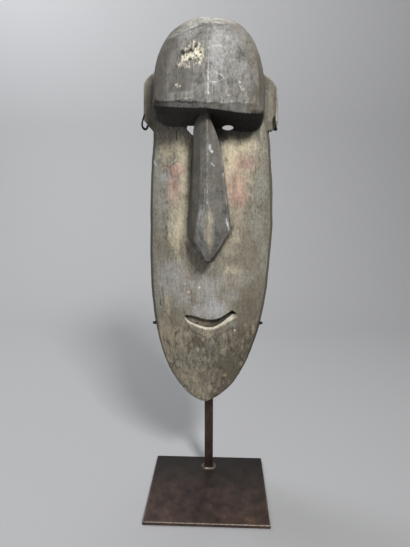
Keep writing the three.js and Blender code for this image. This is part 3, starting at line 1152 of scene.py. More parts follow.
@dataclass
class Relief:
    """Everything finer than the mask's solid form: tool marks, grain, cracks, wear, stains, painted shade and
    highlights.
    """

    grain_depth: float = 0.2
    facet_depth: float = 0.7
    crown_z: float = 744
    underside: float = -0.6
    hatch_pitch: float = 3.1
    worm: tuple[Patch, ...] = (
        Patch(-21, 715, 11, 6, 0.9), Patch(-11, 719, 6, 8, 1.1), Patch(-30, 713, 7, 4.5, 0.7),
        Patch(-34, 705, 6, 6, 0.3), Patch(-14, 706, 7, 5, 0.38), Patch(-26, 702, 9, 5, 0.25),
        Patch(-22, 727, 3, 7, 0.4), Patch(-28, 722, 2, 6, 0.35), Patch(-17, 730, 2, 7, 0.4),
    )
    worm_holes: tuple[Triple, ...] = (
        (-33.6, 721, 2.4), (-31.0, 719.4, 1.6), (-27.8, 721.6, 1.9), (-22.6, 724, 2.6),
        (-24.8, 720.6, 1.5), (-19.4, 721.5, 1.4), (-15.9, 727.5, 2.0), (-13.2, 722.6, 1.3),
        (-9.0, 719.4, 2.2), (-10.8, 723.6, 1.3), (-22.4, 710.2, 2.3), (-25.2, 710.6, 1.2),
        (-18.0, 712.8, 1.1), (-14.6, 714.5, 1.1), (-13.0, 706.4, 1.0),
    )
    vee: tuple[Pair, ...] = (
        (-33.5, 326), (-27.8, 318), (-18.7, 310.5), (-8.5, 304.9), (0.9, 299.2), (10.3, 306.7), (22.5, 309.6),
        (33.3, 314.7), (40, 320.5),
    )
    cracks: tuple[Score, ...] = (
        Score(((-46.7, 624), (-46.5, 612)), 1.9, 1.0, 0.3),
        Score(((-72.0, 572.3), (-65.5, 574.4), (-59.1, 571.3)), 1.6, 0.5, 0.8),
        Score(
            ((-57.6, 568.3), (-55.9, 574.2), (-51.1, 578.5), (-44.9, 579.9), (-38.7, 576.9)), 1.6, 0.45, 1.2
        ),
        Score(((-57.6, 565.4), (-53.0, 560.1), (-45.1, 560.8), (-37.3, 566.6)), 1.6, 0.4, 1.4),
        Score(((-78.2, 362.0), (-76.6, 353.4)), 2.4, 0.8, 1.0),
        Score(((-73.5, 342.1), (-68.3, 341.0), (-63.3, 334.7), (-58.3, 326.7)), 2.0, 0.55, 1.2),
        Score(((-18.7, 305.6), (-25.3, 298.2), (-32.2, 288.4), (-30.8, 275.4)), 2.8, 0.5, 1.2),
        Score(((-17.0, 303.9), (-7.3, 293.5), (-0.9, 276.9), (0.6, 251.3), (-1.3, 224.4)), 2.8, 0.45, 1.4),
        Score(((10.6, 304.4), (17.2, 289.9), (20.6, 268.9)), 2.8, 0.45, 1.2),
        Score(((30.0, 316.2), (35.0, 303.6), (36.9, 288.8), (42.1, 275.0)), 3.0, 0.5, 1.2),
        Score(((-43.4, 314.3), (-52.0, 308.0), (-55.8, 294.8), (-50.9, 286.2)), 2.8, 0.45, 1.2),
        Score(((-65.4, 274.0), (-58.8, 263.5), (-55.7, 254.0), (-61.9, 238.0)), 2.8, 0.4, 1.2),
        Score(((-36.4, 255.0), (-29.9, 243.6), (-25.0, 235.8)), 2.8, 0.4, 1.2),
        Score(((54.0, 267.4), (59.6, 254.0)), 3.0, 0.5, 1.0),
        Score(((7.4, 280.8), (9.0, 257.3), (12.3, 241.0)), 2.8, 0.35, 1.2),
        Score(((70.7, 305.0), (71.1, 319.5)), 1.8, 0.6, 0.6),
    )
    crown_lines: tuple[Score, ...] = (
        Score(((-43.9, 752.7), (-34.3, 750.8), (-19.3, 753.2), (-9.5, 755.7), (-2.7, 757.9)), 1.7, 0.5, 0.3),
        Score(((-22.4, 770.4), (-20.1, 762.9), (-26.0, 760.4), (-33.1, 758.2)), 1.6, 0.4, 0.3),
        Score(((-14.6, 773.6), (-13.5, 762.5), (-7.7, 761.0), (-2.7, 757.4)), 1.7, 0.45, 0.3),
        Score(
            ((-2.7, 757.4), (3.8, 760.3), (10.2, 770.0), (17.2, 768.6), (23.1, 767.2), (27.9, 760.3)),
            1.7, 0.5, 0.3,
        ),
        Score(((3.1, 775.9), (7.2, 771.9), (5.6, 762.7)), 1.6, 0.35, 0.3),
        Score(((-2.7, 757.4), (-2.2, 748), (-3.2, 738)), 1.6, 0.35, 0.4),
    )
    scratches_and_highlights: tuple[Score, ...] = (
        Score(((6.5, 727), (20, 727.5)), 1.5, 0.4, 0.5),
        Score(((9, 694.5), (20.5, 688)), 1.6, 0.55, 0.4),
        Score(((20.5, 688), (21.5, 684), (15, 679.5), (5, 678.5)), 1.6, 0.6, 0.5),
        Score(((20.4, 701.4), (21.8, 692.2)), 1.5, 0.3, 0.4),
        # these two lines: a painted highlight along the dome's ridge
        Score(((2.2, 664), (2.2, 700)), 1.6, 0.75, 0.2),
        Score(((2.2, 700), (1.8, 724)), 1.5, 0.35, 0.3),
        Score(((24, 747), (40, 727)), 1.5, 0.22, 0.5),
        Score(((28, 752), (43, 738)), 1.5, 0.2, 0.5),
        Score(((36, 745), (52, 718)), 1.5, 0.2, 0.5),
        # a painted highlight along the nose's right edge
        Score(((20.5, 600), (23, 566), (27, 538), (31, 512)), 2.0, 0.55, 0.3),
        Score(((28.3, 497.2), (32.5, 480.9)), 1.8, 0.9, 0.2),
        Score(((3.9, 600), (5.4, 594), (8.0, 591)), 2.6, 1.0, 0.2),
        Score(((6.5, 575.4), (11.3, 572)), 2.3, 0.85, 0.2),
        # a worn line along the nose's ridge that is also a painted highlight
        Score(((0.8, 632), (0.8, 560), (1.2, 520)), 1.5, 0.28, 0.3),
        Score(((-2.8, 540), (-3.4, 512)), 1.5, 0.4, 0.3),
        Score(((-84, 583), (-81, 576)), 2.0, 0.7, 0.3),
        Score(((-56.7, 577.2), (-51.1, 581.5), (-46.4, 583.6)), 1.8, 0.4, 0.4),
        Score(((-31.6, 520), (-31.8, 496)), 2.2, 0.5, 0.5),
        Score(((36, 478), (40, 470)), 2.2, 0.55, 0.5),
        Score(
            ((-33.6, 370.9), (-29.5, 372.7), (-26.3, 367.9), (-28.8, 363.7), (-33.6, 365.9)), 1.5, 0.45, 0.4
        ),
    )
    chips: tuple[Triple, ...] = (
        (44.7, 680.5, 1.9), (46.4, 675, 1.5), (48.4, 671.5, 1.9), (29.4, 662.7, 1.6),
        (12.8, 661.3, 1.3), (-57.6, 697.7, 1.5), (-40.6, 677.5, 1.7), (-38.8, 674.5, 2.0),
        (-35.4, 675.5, 1.4), (-16.5, 678.5, 1.7), (-12.6, 388, 2.3), (-29.5, 379, 1.9),
        (-30.2, 375.4, 1.6), (-30.4, 368.4, 1.5), (-27.4, 363, 1.5), (-35.8, 392.1, 1.3),
        (1.2, 583.6, 1.7), (36, 534, 2.0), (44.7, 315, 2.0),
    )
    nose_shadow: Score = Score(((37.5, 482), (35.5, 474), (20, 452), (8, 432), (0, 430)), 6.0, 0.85, 1.0)
    stains: tuple[Stain, ...] = (
        Stain("umber", (
            Patch(12, 258, 62, 62, 0.75), Patch(62, 300, 34, 60, 0.75), Patch(84, 380, 12, 60, 0.5),
            Patch(-60, 322, 22, 30, 0.5), Patch(-52, 232, 14, 24, 0.5), Patch(92, 520, 7, 90, 0.45),
            Patch(-72, 606, 16, 10, 0.3), Patch(-18, 604, 8, 12, 0.3), Patch(-20, 318, 14, 8, 0.4),
            Patch(-24, 304, 10, 7, 0.7), Patch(20, 310, 14, 5, 0.4), Patch(64, 354, 28, 46, 0.75),
            Patch(62, 430, 30, 40, 0.35), Patch(-86, 470, 8, 60, 0.35), Patch(-60, 450, 24, 30, 0.3),
        )),
        Stain("moss", (
            Patch(-77, 556, 12, 56, 0.75), Patch(-70, 505, 14, 30, 0.5), Patch(-30, 552, 6, 24, 0.5),
            Patch(84, 545, 10, 22, 0.7), Patch(74, 505, 14, 16, 0.5), Patch(88, 430, 8, 40, 0.6),
            Patch(-16, 262, 24, 18, 0.55), Patch(-45, 245, 12, 20, 0.5), Patch(6, 280, 18, 22, 0.4),
            Patch(12, 378, 20, 14, 0.5), Patch(-22, 360, 8, 10, 0.6), Patch(-82, 370, 8, 40, 0.6),
            Patch(40, 325, 8, 6, 0.7), Patch(30, 440, 14, 16, 0.4), Patch(-88, 430, 6, 50, 0.5),
        )),
        Stain("slate", (
            Patch(14, 352, 22, 18, 1.0), Patch(-14, 348, 16, 12, 0.6), Patch(-8, 390, 30, 26, 0.5),
            Patch(-56, 400, 28, 40, 0.55), Patch(-66, 556, 9, 8, 0.6), Patch(-40, 370, 18, 20, 0.4),
            Patch(40, 372, 18, 16, 0.3), Patch(56, 400, 24, 20, 0.25), Patch(74, 528, 14, 12, 0.25),
            Patch(68, 590, 14, 16, 0.2), Patch(-72, 520, 10, 22, 0.25),
        )),
        Stain("slate", (
            Patch(12, 722, 12, 44, 0.65), Patch(32, 738, 22, 20, 0.45), Patch(10, 690, 9, 20, 0.5),
            Patch(-28, 746, 18, 8, 0.4), Patch(-50, 700, 10, 24, 0.12), Patch(40, 700, 20, 20, 0.2),
        ), False),
        Stain("ochre", (
            Patch(-66, 352, 5, 22, 0.9), Patch(-60, 275, 18, 14, 0.55), Patch(-30, 269, 12, 6, 0.5),
            Patch(-54, 312, 16, 12, 0.35), Patch(-47, 232, 8, 14, 0.5), Patch(-40, 221, 14, 8, 0.45),
            Patch(44, 495, 15, 24, 0.55), Patch(36, 452, 22, 20, 0.35), Patch(60, 440, 26, 34, 0.15),
            Patch(44, 410, 24, 24, 0.25), Patch(74.5, 316, 3, 12, 0.7), Patch(-44, 470, 20, 48, 0.35),
            Patch(60, 606, 20, 12, 0.5), Patch(-24, 208, 18, 10, 0.4), Patch(72, 590, 10, 16, 0.3),
        )),
        Stain("cream", (
            Patch(38, 590, 14, 22, 0.95), Patch(31, 568, 10, 20, 0.8), Patch(50, 597, 18, 14, 0.7),
            Patch(24, 560, 5, 40, 0.4), Patch(-36, 588, 10, 20, 0.7), Patch(-44, 602, 14, 16, 0.75),
            Patch(-62, 596, 14, 16, 0.35), Patch(-36, 548, 8, 30, 0.7), Patch(-33, 512, 7, 20, 0.8),
            Patch(-40, 484, 12, 38, 0.65), Patch(-45, 454, 14, 26, 0.4), Patch(28, 520, 9, 36, 0.4),
            Patch(40, 470, 14, 18, 0.3), Patch(-50, 500, 15, 42, 0.3), Patch(66, 600, 18, 14, 0.3),
            Patch(50, 552, 22, 34, 0.35), Patch(3.7, 205.5, 4, 7, 0.6), Patch(36, 414, 12, 10, 0.25),
        )),
        Stain("rose", (
            Patch(43, 548, 21, 22, 0.5, 0.3), Patch(46, 531, 16, 20, 0.75, 0.3),
            Patch(54, 578, 22, 16, 0.45, 0.3), Patch(-47, 569, 12, 11, 0.65, 0.4),
            Patch(-52, 543, 11, 24, 0.5, 0.4), Patch(-64, 574, 8, 6, 0.3),
        )),
    )
    right_bevel: tuple[Pair, ...] = (
        (652, 71.1), (677.7, 66.5), (703.9, 58.1), (731, 47.2), (748.8, 33.6), (762.7, 19.9),
    )
    left_bevel: tuple[Pair, ...] = (
        (652, -66.4), (679, -68), (699.1, -65.4), (719.5, -60.3), (737.5, -53.8), (750.5, -43.2),
    )

    def carve(self, mesh: Mesh, face: Face, dome: Dome) -> Marks:
        """Cuts the relief into the mesh.

        Every point moves along its normal by the sum of the tool facets, the grain, the crown's
        erosion, the worm holes, the cracks, the scratches and the chips.

        Args:
            mesh: the mask's form.
            face: its face.
            dome: its dome.

        Returns:
            The marks at each point.
        """
        points, normals = read_points(mesh), read_normals(mesh)
        for _ in range(4):
            normals = neighbour_mean(mesh, normals)
        normals /= np.linalg.norm(normals, axis=1, keepdims=True)
        x, y, z = points.T
        front = smooth(-normals[:, 1], 0.1, 0.45) * (y < 12)
        cavity = (y - face.front(x, z, dome) > 9) * (np.abs(x - face.middle(z)) < face.half(z, dome) - 9)
        cavity = cavity * (1 - (z > 740) * smooth(normals[:, 2], 0.2, 0.5))
        sides = 0.85 * smooth(y, 6, 42)
        back = np.max([cavity, smooth(normals[:, 1], 0.3, 0.6), sides], axis=0) * (1 - front)
        rough = layered_noise(points, (7, 7, 10), 3, 3)
        fine = layered_noise(points, (3, 3, 5), 2, 11)
        drift = np.stack([layered_noise(points, (9, 9, 9), 2, seed) for seed in (21, 31)], -1) * 2
        facets = layered_noise(points, (26, 26, 34), 2, 41)
        grain = lattice_noise(points / np.array([3.2, 3.2, 48.0]), 51)
        deep_grain = lattice_noise(points / np.array([7.0, 7.0, 110.0]), 61)

        crown = smooth(dome.above_cuts(points), -1.3, -0.4) * (z > self.crown_z)
        fibre = layered_noise(points, (2.4, 2.4, 9), 2, 81)
        worm = strongest(self.worm, points, rough + 0.7 * fibre) * front
        holes = pitted(points, self.worm_holes, 0.5 * fine, 0.85, (0.45, 1.15)) * front * (z > 690)
        crack = strongest(self.cracks, points, drift) * (0.85 + 0.5 * fibre)
        vee = Score(self.vee, 2.4, 0.5, 1.0).cover(points, drift) * (0.8 + 0.9 * rough)
        crack = np.maximum(crack, vee).clip(0, 1) * front * (z < 630)
        crack = np.maximum(crack, strongest(self.crown_lines, points, drift) * (z > self.crown_z))
        scratch = strongest(self.scratches_and_highlights, points, drift) * front
        chip = pitted(points, self.chips, 0.8 * fine, 1, (0.5, 1.3)) * (front * (0.75 + 0.6 * fine))

        shift = self.facet_depth * facets + self.grain_depth * (grain + 0.8 * deep_grain)
        shift = shift * np.where(back > 0.5, 1.4, 1.0)
        shift -= crown * (0.9 + 1.1 * rough)
        shift -= worm * (0.7 + 0.8 * fine) + 2.4 * holes
        shift -= 0.7 * crack + 0.2 * scratch + 0.5 * chip
        write_points(mesh, points + normals * shift[:, None])
        return Marks(front, back, rough, fine, fibre, crown, worm, holes, crack, scratch, chip)

    def mouth_tones(
        self,
        mouth: Mouth,
        marks: Marks,
        points: np.ndarray,
        depth: np.ndarray,
    ) -> list[np.ndarray]:
        """Where the mouth's tones lie.

        Args:
            mouth: the mouth.
            marks: the relief's marks.
            points: an (n, 3) array in millimetres.
            depth: how far each point lies behind the face's front.

        Returns:
            The lip, the pocket, the pocket's painted shade (under the upper lip and deeper at the right)
            with a dark spot, the lens between the lip and the carved line below it, and the lens's hatched
            middle.
        """
        x, _, z = points.T
        low, high = mouth.lower(x), mouth.upper(x)
        inner = blend(low, high, mouth.lip_share(x))
        inside = (z > low - 1.4) * (z < high + 1.6) * (x > -37.5) * (x < 47) * (depth < 11)
        lip = inside * smooth(depth, -0.2, 0.8) * (1 - 0.55 * smooth(x, 37, 45))
        lip = lip * (1 - smooth(depth, 2.8, 4.0)) * (1 - smooth(z - inner, 0.2, 1.6))
        pocket = inside * smooth(depth, 0.3, 1.4) * (1 - lip)
        # painted shadow under the upper lip, weaker at the left
        upper_lip_shadow = inside * smooth(depth, 0.4, 1.2) * (1 - smooth(high - z, 1.0, 3.0))
        upper_lip_shadow = upper_lip_shadow * blend(0.45, 1, smooth(x, -12, 12))
        # painted shade in the pocket, deeper towards the right
        deep = pocket * blend(0.1, 0.95, smooth(x, -6, 20))
        spot = pocket * (1 - smooth(np.hypot((x + 17) / 3, (z - 326.5) / 2.2), 0.4, 1.2))
        lens = smooth(z - along(x, self.vee), 0, 3) * (z < low + 1) * (np.abs(x) < 37)
        lens = lens * marks.front * (depth < 2)
        hatch = 0.55 + 0.45 * np.sin(2 * np.pi * (x + 0.8 * marks.rough) / self.hatch_pitch)
        wedge = lens * hatch * (1 - smooth(np.abs(x + 1 - 0.1 * (z - 300)), 4, 13))
        return [lip, pocket, np.max([0.9 * upper_lip_shadow, deep, spot], axis=0), lens, wedge]

    @staticmethod
    def painted_brow_shade(marks: Marks, points: np.ndarray, normals: np.ndarray, depth: np.ndarray) -> np.ndarray:
        """Painted shade under the brow, darker at the right, and its painted shadow below the crease.

        Args:
            marks: the relief's marks.
            points: an (n, 3) array in millimetres.
            normals: an (n, 3) array.
            depth: how far each point lies behind the face's front.

        Returns:
            An (n,) array.
        """
        x, y, z = points.T
        down, reach = -normals[:, 2], np.abs(x)
        steep = blend(0.2, 0.5, smooth(z, 634, 648))
        # painted shade where the surface faces down under the brow and in the brow's lower corners, darker at
        # the right
        under = smooth(down - steep, 0, 0.28) * (z > 596) * (z < 660) * (y < -16) * (reach < 82)
        corner = (z > 596) * (z < 652) * (y < -24) * (depth < -5) * (reach > 60) * smooth(down, -0.25, 0.15)
        under = np.maximum(under, corner * np.where(x > 0, 0.95, 0.5) * (1 - smooth(z, 640, 650)))
        # the brow's painted shadow on the face just below the crease, reaching lower at the right
        crease = (z < 655) * marks.front * (y > -45) * (reach < 78)
        right = smooth(z, 606, 622) * crease * (x > 8)
        left = 0.45 * smooth(z, 618, 628) * crease * (x < 8)
        shade = np.maximum(right, left)
        return np.maximum(under, 0.85 * shade * (0.8 + 0.4 * marks.rough)) * np.where(x > 0, 1.0, 0.86)

    def colour(self, mesh: Mesh, marks: Marks, mask: "Mask") -> None:
        """Stores where each tone lies, one number per point and tone.

        Rubbed wood is where the surface bulges above its neighbours' mean. Grime and painted shade
        lie where it lies below, and painted shade lies where the surface faces down under the brow.

        Args:
            mesh: the carved mask.
            marks: the relief's marks.
            mask: the mask, for its face, dome, nose and mouth.
        """
        points, normals = read_points(mesh), read_normals(mesh)
        face, dome = mask.face, mask.dome
        x, y, z = points.T
        front, rough, fine = marks.front, marks.rough, marks.fine
        bulge = ((points - neighbour_mean(mesh, points)) * normals).sum(1)
        for _ in range(2):
            bulge = neighbour_mean(mesh, bulge)
        # edge bulges out and is rubbed; seam lies in hollows and gets grime and painted shade
        edge, seam = smooth(bulge, 0.06, 0.28), smooth(-bulge, 0.05, 0.25)
        tone = 0.8 * layered_noise(points, (26, 26, 40), 3, 71) + 0.55 * rough + 0.45 * marks.fibre
        depth = y - face.front(x, z, dome)
        on_face = (z < 640) * (y > -36) * (np.abs(depth) < 14)
        tones = {stain.layer: np.zeros(len(points)) for stain in self.stains}

        def lay(layer: str, *covers: np.ndarray) -> None:
            """Lays covers on a layer wherever they are stronger than what it has."""
            tones[layer] = np.max([tones[layer], *covers], axis=0)

        for stain in self.stains:
            laid = strongest(stain.patches, points, tone) * front
            lay(stain.layer, laid * on_face if stain.face_only else laid)

        level = normals[:, 2] > self.underside
        on_ear = (np.abs(x) > 83) * (z > 620) * (y > -20)
        on_nose = (z < 645) * (depth < -3) * (np.abs(x) < 38) * level * (y > -82)
        # the nose's left flank, which gets painted shade below
        flank = smooth(-along(z, mask.nose.shoulder) - x, -1.5, 2.5) * on_nose * (z > 455)
        flat = Patch(3.0, 478, 7.0, 30, 1.0, 0.6).cover(points, tone) * on_nose
        low_left = on_nose * (x < -2) * (1 - smooth(z, 500, 535)) * (1 - flank)

        across = x - dome.x
        line = dome.bottom_z + dome.brow_tilt * across + along(across, dome.scallops)
        brow = (y < -52) * (z > 636) * level * (1 - on_nose)
        # the brow's lower band, which gets painted shade at the right below
        band = smooth(line - z, 0.2, 1.4) * brow
        arris = (1 - smooth(np.abs(z - line - 0.6), 0.3, 1.6)) * brow * (0.55 + 0.9 * fine)
        # a painted shadow line just under the brow band's upper edge
        undercut = (1 - smooth(np.abs(z - line + 1.6), 0.3, 1.6)) * brow
        past_right, past_left = x - along(z, self.right_bevel), along(z, self.left_bevel) - x
        on_dome = (z > 646) * (y < -14)
        bevel = np.maximum(smooth(past_right, -1, 2.5), smooth(past_left, -1, 2.5)) * on_dome
        # the dome's sides where they turn away, which get painted shade below, more at the left
        turning = np.maximum(0.7 * smooth(past_right, -18, 6), 1.6 * smooth(past_left, -26, 0)) * on_dome
        knocked = brow * smooth(x, 46, 62) * (1 - smooth(z, 664, 690))
        # surfaces that face sideways, which get painted shade below
        sides = smooth(np.abs(normals[:, 0]), 0.5, 0.85) * (1 - smooth(y, 4, 44)) * (1 - on_nose)

        # dark: the pocket's painted shade and a dark spot
        lip, pocket, dark, lens, wedge = self.mouth_tones(mask.mouth, marks, points, depth)
        chin = on_face * front * smooth(345 - z, 0, 34) * (1 - lens)
        to_left = smooth(-x, -15, 40)
        cheek = on_face * front * (z > 400)
        ear_grain = lattice_noise(points / np.array([4.0, 4.0, 60.0]), 91)
        # the face's edge, which gets painted shade below and is kept from the rubbed tone
        rim = face.half(z, dome) - np.abs(x - face.middle(z))
        rim = (1 - smooth(rim - 1.2 * rough, 1.5, 5.5)) * (z < 640) * front * (1 - on_nose)
        shadow = self.nose_shadow.cover(points, np.stack([rough, rough], -1)) * on_face * (depth > -2) * front

        lay("ochre", chin * (0.06 + 0.44 * to_left - 0.8 * tone))
        lay("umber", chin * (0.72 - 0.64 * to_left + 1.1 * tone))
        lay("umber", cheek * (0.75 * tone - 0.12) * smooth(600 - z, 0, 60))
        lay("moss", cheek * (0.1 - 0.7 * tone))
        tan = on_face * (depth > -3) * (0.8 + 0.25 * tone) + on_ear * (0.65 + 0.35 * ear_grain + 0.2 * tone)
        tones["tan"] = tan * (1 - marks.back) + bevel * (0.3 + 0.3 * tone) * (x > 0)
        tones["umber"] *= 1 - 0.35 * lens
        # the nose's left flank gets umber here as painted shade; the pocket and the knocked brow corner get
        # it as their tone
        lay("umber", pocket, 0.45 * on_nose * flank, knocked * (0.4 + 0.8 * tone))
        lay("umber", on_nose * (0.3 + 0.5 * tone) * smooth(z, 500, 560), on_ear * (0.3 - 0.5 * ear_grain))
        tones["slate"] *= 1.0 + 0.3 * tone
        lay("slate", 0.3 * low_left * (0.8 + 0.6 * tone))
        lay("ochre", 0.95 * flat, 0.06 * lens, knocked * (0.2 - 0.9 * tone))
        lay("cream", 0.5 * wedge)
        rubbed = edge * (0.75 + 0.5 * rough) * (1 - 0.5 * on_nose) + 0.7 * marks.crown * (0.8 + 0.7 * rough)
        # a painted highlight along the right ear's outer edge
        ear_edge_highlight = on_ear * smooth(x, 100.5, 103.5) * (0.5 + 0.4 * tone)
        tones["rubbed"] = np.max([rubbed * (1 - rim), 0.55 * arris, ear_edge_highlight], axis=0) * (1 - marks.back)
        # a darker tone over the nose, and painted shade on its left flank and under the brow, on sideways and
        # turning surfaces, on the brow's band and left plane, on the face's rim and on the left ear
        tones["dark_tone_and_shade"] = np.max([
            0.55 * flank * (0.95 + 0.7 * tone),
            0.3 * on_nose * (x < 2) * (1 - low_left),
            0.3 * on_nose * (x > 2) * (1 - flat),
            0.6 * on_nose * smooth(z, 575, 620) * (x < 6),
            0.7 * sides,
            0.6 * turning * (0.9 + 0.5 * tone),
            0.25 * band * (x > 0),
            0.45 * brow * smooth(-x, 8, 34) * (z < 725) * (z > 668) * (1 - band),
            0.5 * rim,
            0.35 * on_ear * (x < 0),
        ], axis=0)
        # painted shade under the brow and the brow's painted shadow below the crease
        tones["painted_brow_shade"] = self.painted_brow_shade(marks, points, normals, depth)
        tones["inside"] = marks.back
        tones["bare"] = np.maximum(marks.worm, 0.6 * marks.chip * (z < 690))
        tones["lip"] = 0.95 * lip * (0.9 + 0.4 * fine)
        # pale scratches and chips, with painted highlight lines among the scratches
        tones["chalk_and_highlights"] = np.maximum(0.8 * marks.scratch, 0.6 * marks.chip * (z < 400)) * (0.8 + 0.9 * fine)
        # grime and painted shade: hollows, the pocket's shade, a shadow line under the brow band and the
        # nose's shadow
        tones["grime_and_shade"] = np.max([0.8 * seam, dark, 0.5 * undercut * (x < 10), shadow], axis=0)
        tones["crack"] = np.maximum(marks.holes, marks.crack)
        crazed = 0.16 + 0.84 * smooth(330 - z, 0, 36) * (1 - lens)
        tones["veins"] = front * on_face * crazed * (1 - lip) * (0.8 + 0.6 * tone)
        for name, values in tones.items():
            store(mesh, name, np.clip(values, 0, 1))


@dataclass
class Mask:
    """The whole mask: one carved block of wood."""

    face: Face = field(default_factory=Face)
    dome: Dome = field(default_factory=Dome)
    nose: Nose = field(default_factory=Nose)
    left_ear: Ear = field(default_factory=lambda: Ear(-1, 98.3, 624.5, 712, 20, 15.5, 18.5))
    right_ear: Ear = field(default_factory=lambda: Ear(1, 105, 626.5, 709, 26, 8, 9))
    mouth: Mouth = field(default_factory=Mouth)
    relief: Relief = field(default_factory=Relief)
    right_eye: tuple[float, ...] = (29.5, 628.4, 17.5, 7)
    left_eye: tuple[Pair, ...] = ((-31.5, 631.5), (-31.5, 626), (-21, 617), (-12, 617), (-12, 631.5))
    sight_slope: float = 0.137
    voxel: float = 1.65
    merged_behind: float = 0.86
    behind_y: float = 8
    hollow_ends: Pair = (20, 32)
    hollow_power: float = 0.8

    def board(self) -> Shell:
        """The board: crowned front, bevelled edges and sides that draw in slightly to the rim.

        Returns:
            The closed shell.
        """
        face, dome = self.face, self.dome
        low, high = face.chin_z + 1.2, dome.middle_z + dome.rise - 3
        z = blend(low, high, (1 - np.cos(np.pi * np.arange(161) / 160)) / 2)[:, None]
        half, middle = face.half(z, dome), face.middle(z)
        bevel = np.minimum(face.bevel, half * 0.3)
        taper = np.minimum(face.taper, half * 0.3)
        x = middle + (half - bevel) * np.linspace(-1, 1, 49)[None]
        side_y = face.edge(z) + bevel * 1.2
        x = np.concatenate([middle - half + taper, middle - half, x, middle + half, middle + half - taper], 1)
        y = np.concatenate([np.full_like(z, face.rim_y), side_y, face.front(x[:, 2:-2], z, dome), side_y], 1)
        y = np.concatenate([y, np.full_like(z, face.rim_y)], 1)
        return loft(np.stack([x, y, np.broadcast_to(z, x.shape)], -1))

    def hollow(self) -> Shell:
        """The hollow behind the face: a trough with an even wall, deeper inside the dome.

        Returns:
            The cutter.
        """
        face, dome = self.face, self.dome
        low, high = face.chin_z + self.hollow_ends[0], dome.middle_z + dome.rise - self.hollow_ends[1]
        z = blend(low, high, (1 - np.cos(np.pi * np.arange(101) / 100)) / 2)[:, None]
        near = np.clip(np.minimum(z - low, high - z) / 50, 0.003, 1)
        ends = np.sqrt(1 - (1 - near) ** 2)
        half = (face.half(z, dome) - face.wall) * ends
        face_floor = face.edge(z) - face.crown + face.wall
        dome_floor = dome.ridge(z) + 2 * face.wall
        floor = blend(face_floor, dome_floor, smooth(z, face.crease_z + 6, dome.middle_z + 15))
        turn = (np.pi * np.arange(41) / 40)[None]
        x = face.middle(z) - half * signed_power(np.cos(turn), self.hollow_power)
        depth = (face.rim_y - floor) * ends
        y = face.rim_y - np.maximum(0.5, depth * np.sin(turn).clip(0) ** self.hollow_power)
        x = np.concatenate([x[:, :1], x, x[:, -1:]], 1)
        outside = np.full_like(z, face.rim_y + 6)
        y = np.concatenate([outside, y, outside], 1)
        return loft(np.stack([x, y, np.broadcast_to(z, x.shape)], -1))

    def sight(self, outline: np.ndarray) -> Shell:
        """A cutter along the wearer's line of sight.

        Args:
            outline: an (n, 2) array of places across and heights.

        Returns:
            The cutter.
        """
        depth = np.array([30.0, -44.0])[:, None]
        x = np.broadcast_to(outline[:, 0], (2, len(outline)))
        z = outline[:, 1] + self.sight_slope * (depth + 26)
        return loft(np.stack([x, np.broadcast_to(depth, x.shape), z], -1))

    def lens(self) -> np.ndarray:
        """The right eye's outline: a lens with pointed corners.

        Returns:
            An (n, 2) array of places across and heights.
        """
        x, z, width, height = self.right_eye
        turn = 2 * np.pi * np.arange(40) / 40
        return np.stack([x + width / 2 * np.cos(turn), z + height / 2 * signed_power(np.sin(turn), 1.2)], -1)

    def crown_cuts(self) -> list[Shell]:
        """A slab above each flat cut on the crown, whose underside rises as the cut's slopes say.

        Returns:
            The cutters.
        """
        slabs = []
        for point, across, back in self.dome.cuts:
            square = np.array([[-200, -200], [200, -200], [200, 200], [-200, 200]], float)
            low = square @ np.array([across, back])
            under = np.column_stack([square, low])
            over = np.column_stack([square, low + 400])
            slabs.append(loft(np.array([under, over]) + np.array(point)))
        return slabs

    def block(self) -> Object:
        """Joins and cuts the solids, and gives the result an even mesh.

        Returns:
            The mask's form with points about one voxel apart in front and coarser behind.
        """
        made = self.board().to_object("carved_mask")
        for part in (self.dome, self.nose, self.left_ear, self.right_ear):
            join(made, part.solid().to_object("part"), Joint.ADD)
        cutters = [self.hollow(), self.mouth.solid(self.face, self.dome)]
        cutters += [self.sight(self.lens()), self.sight(np.array(self.left_eye)), *self.crown_cuts()]
        for cutter in cutters:
            join(made, cutter.to_object("cutter"), Joint.CUT)
        log.info("block: %d faces before its even mesh", len(made.data.polygons))
        form = place_object("form", made.data.copy())
        modifier = made.modifiers.new("even", "REMESH")
        modifier.mode = "VOXEL"
        modifier.voxel_size = self.voxel * MM
        wrap = made.modifiers.new("wrap", "SHRINKWRAP")
        wrap.target = form
        settle(made)
        bpy.data.objects.remove(form)
        self.thin_back(made)
        return made

    def thin_back(self, made: Object) -> None:
        """Merges faces behind, where the hollow and the sides need fewer points.

        Args:
            made: the mask.
        """
        points, normals = read_points(made.data), read_normals(made.data)
        behind = (normals[:, 1] > 0.25) | (points[:, 1] > self.behind_y)
        group = made.vertex_groups.new(name="behind")
        group.add(np.flatnonzero(behind).tolist(), 1.0, "REPLACE")
        fewer = made.modifiers.new("fewer", "DECIMATE")
        fewer.ratio = 1 - self.merged_behind * behind.mean()
        fewer.vertex_group = group.name
        fewer.vertex_group_factor = 10
        settle(made)
        made.vertex_groups.clear()

    def build(self, material: Material) -> Object:
        """Makes the mask and dresses it.

        Args:
            material: the wood.

        Returns:
            The finished piece.
        """
        made = self.block()
        marks = self.relief.carve(made.data, self.face, self.dome)
        self.relief.colour(made.data, marks, self)
        finish_piece(made, material, Slot.WOOD, "mask")
        return made


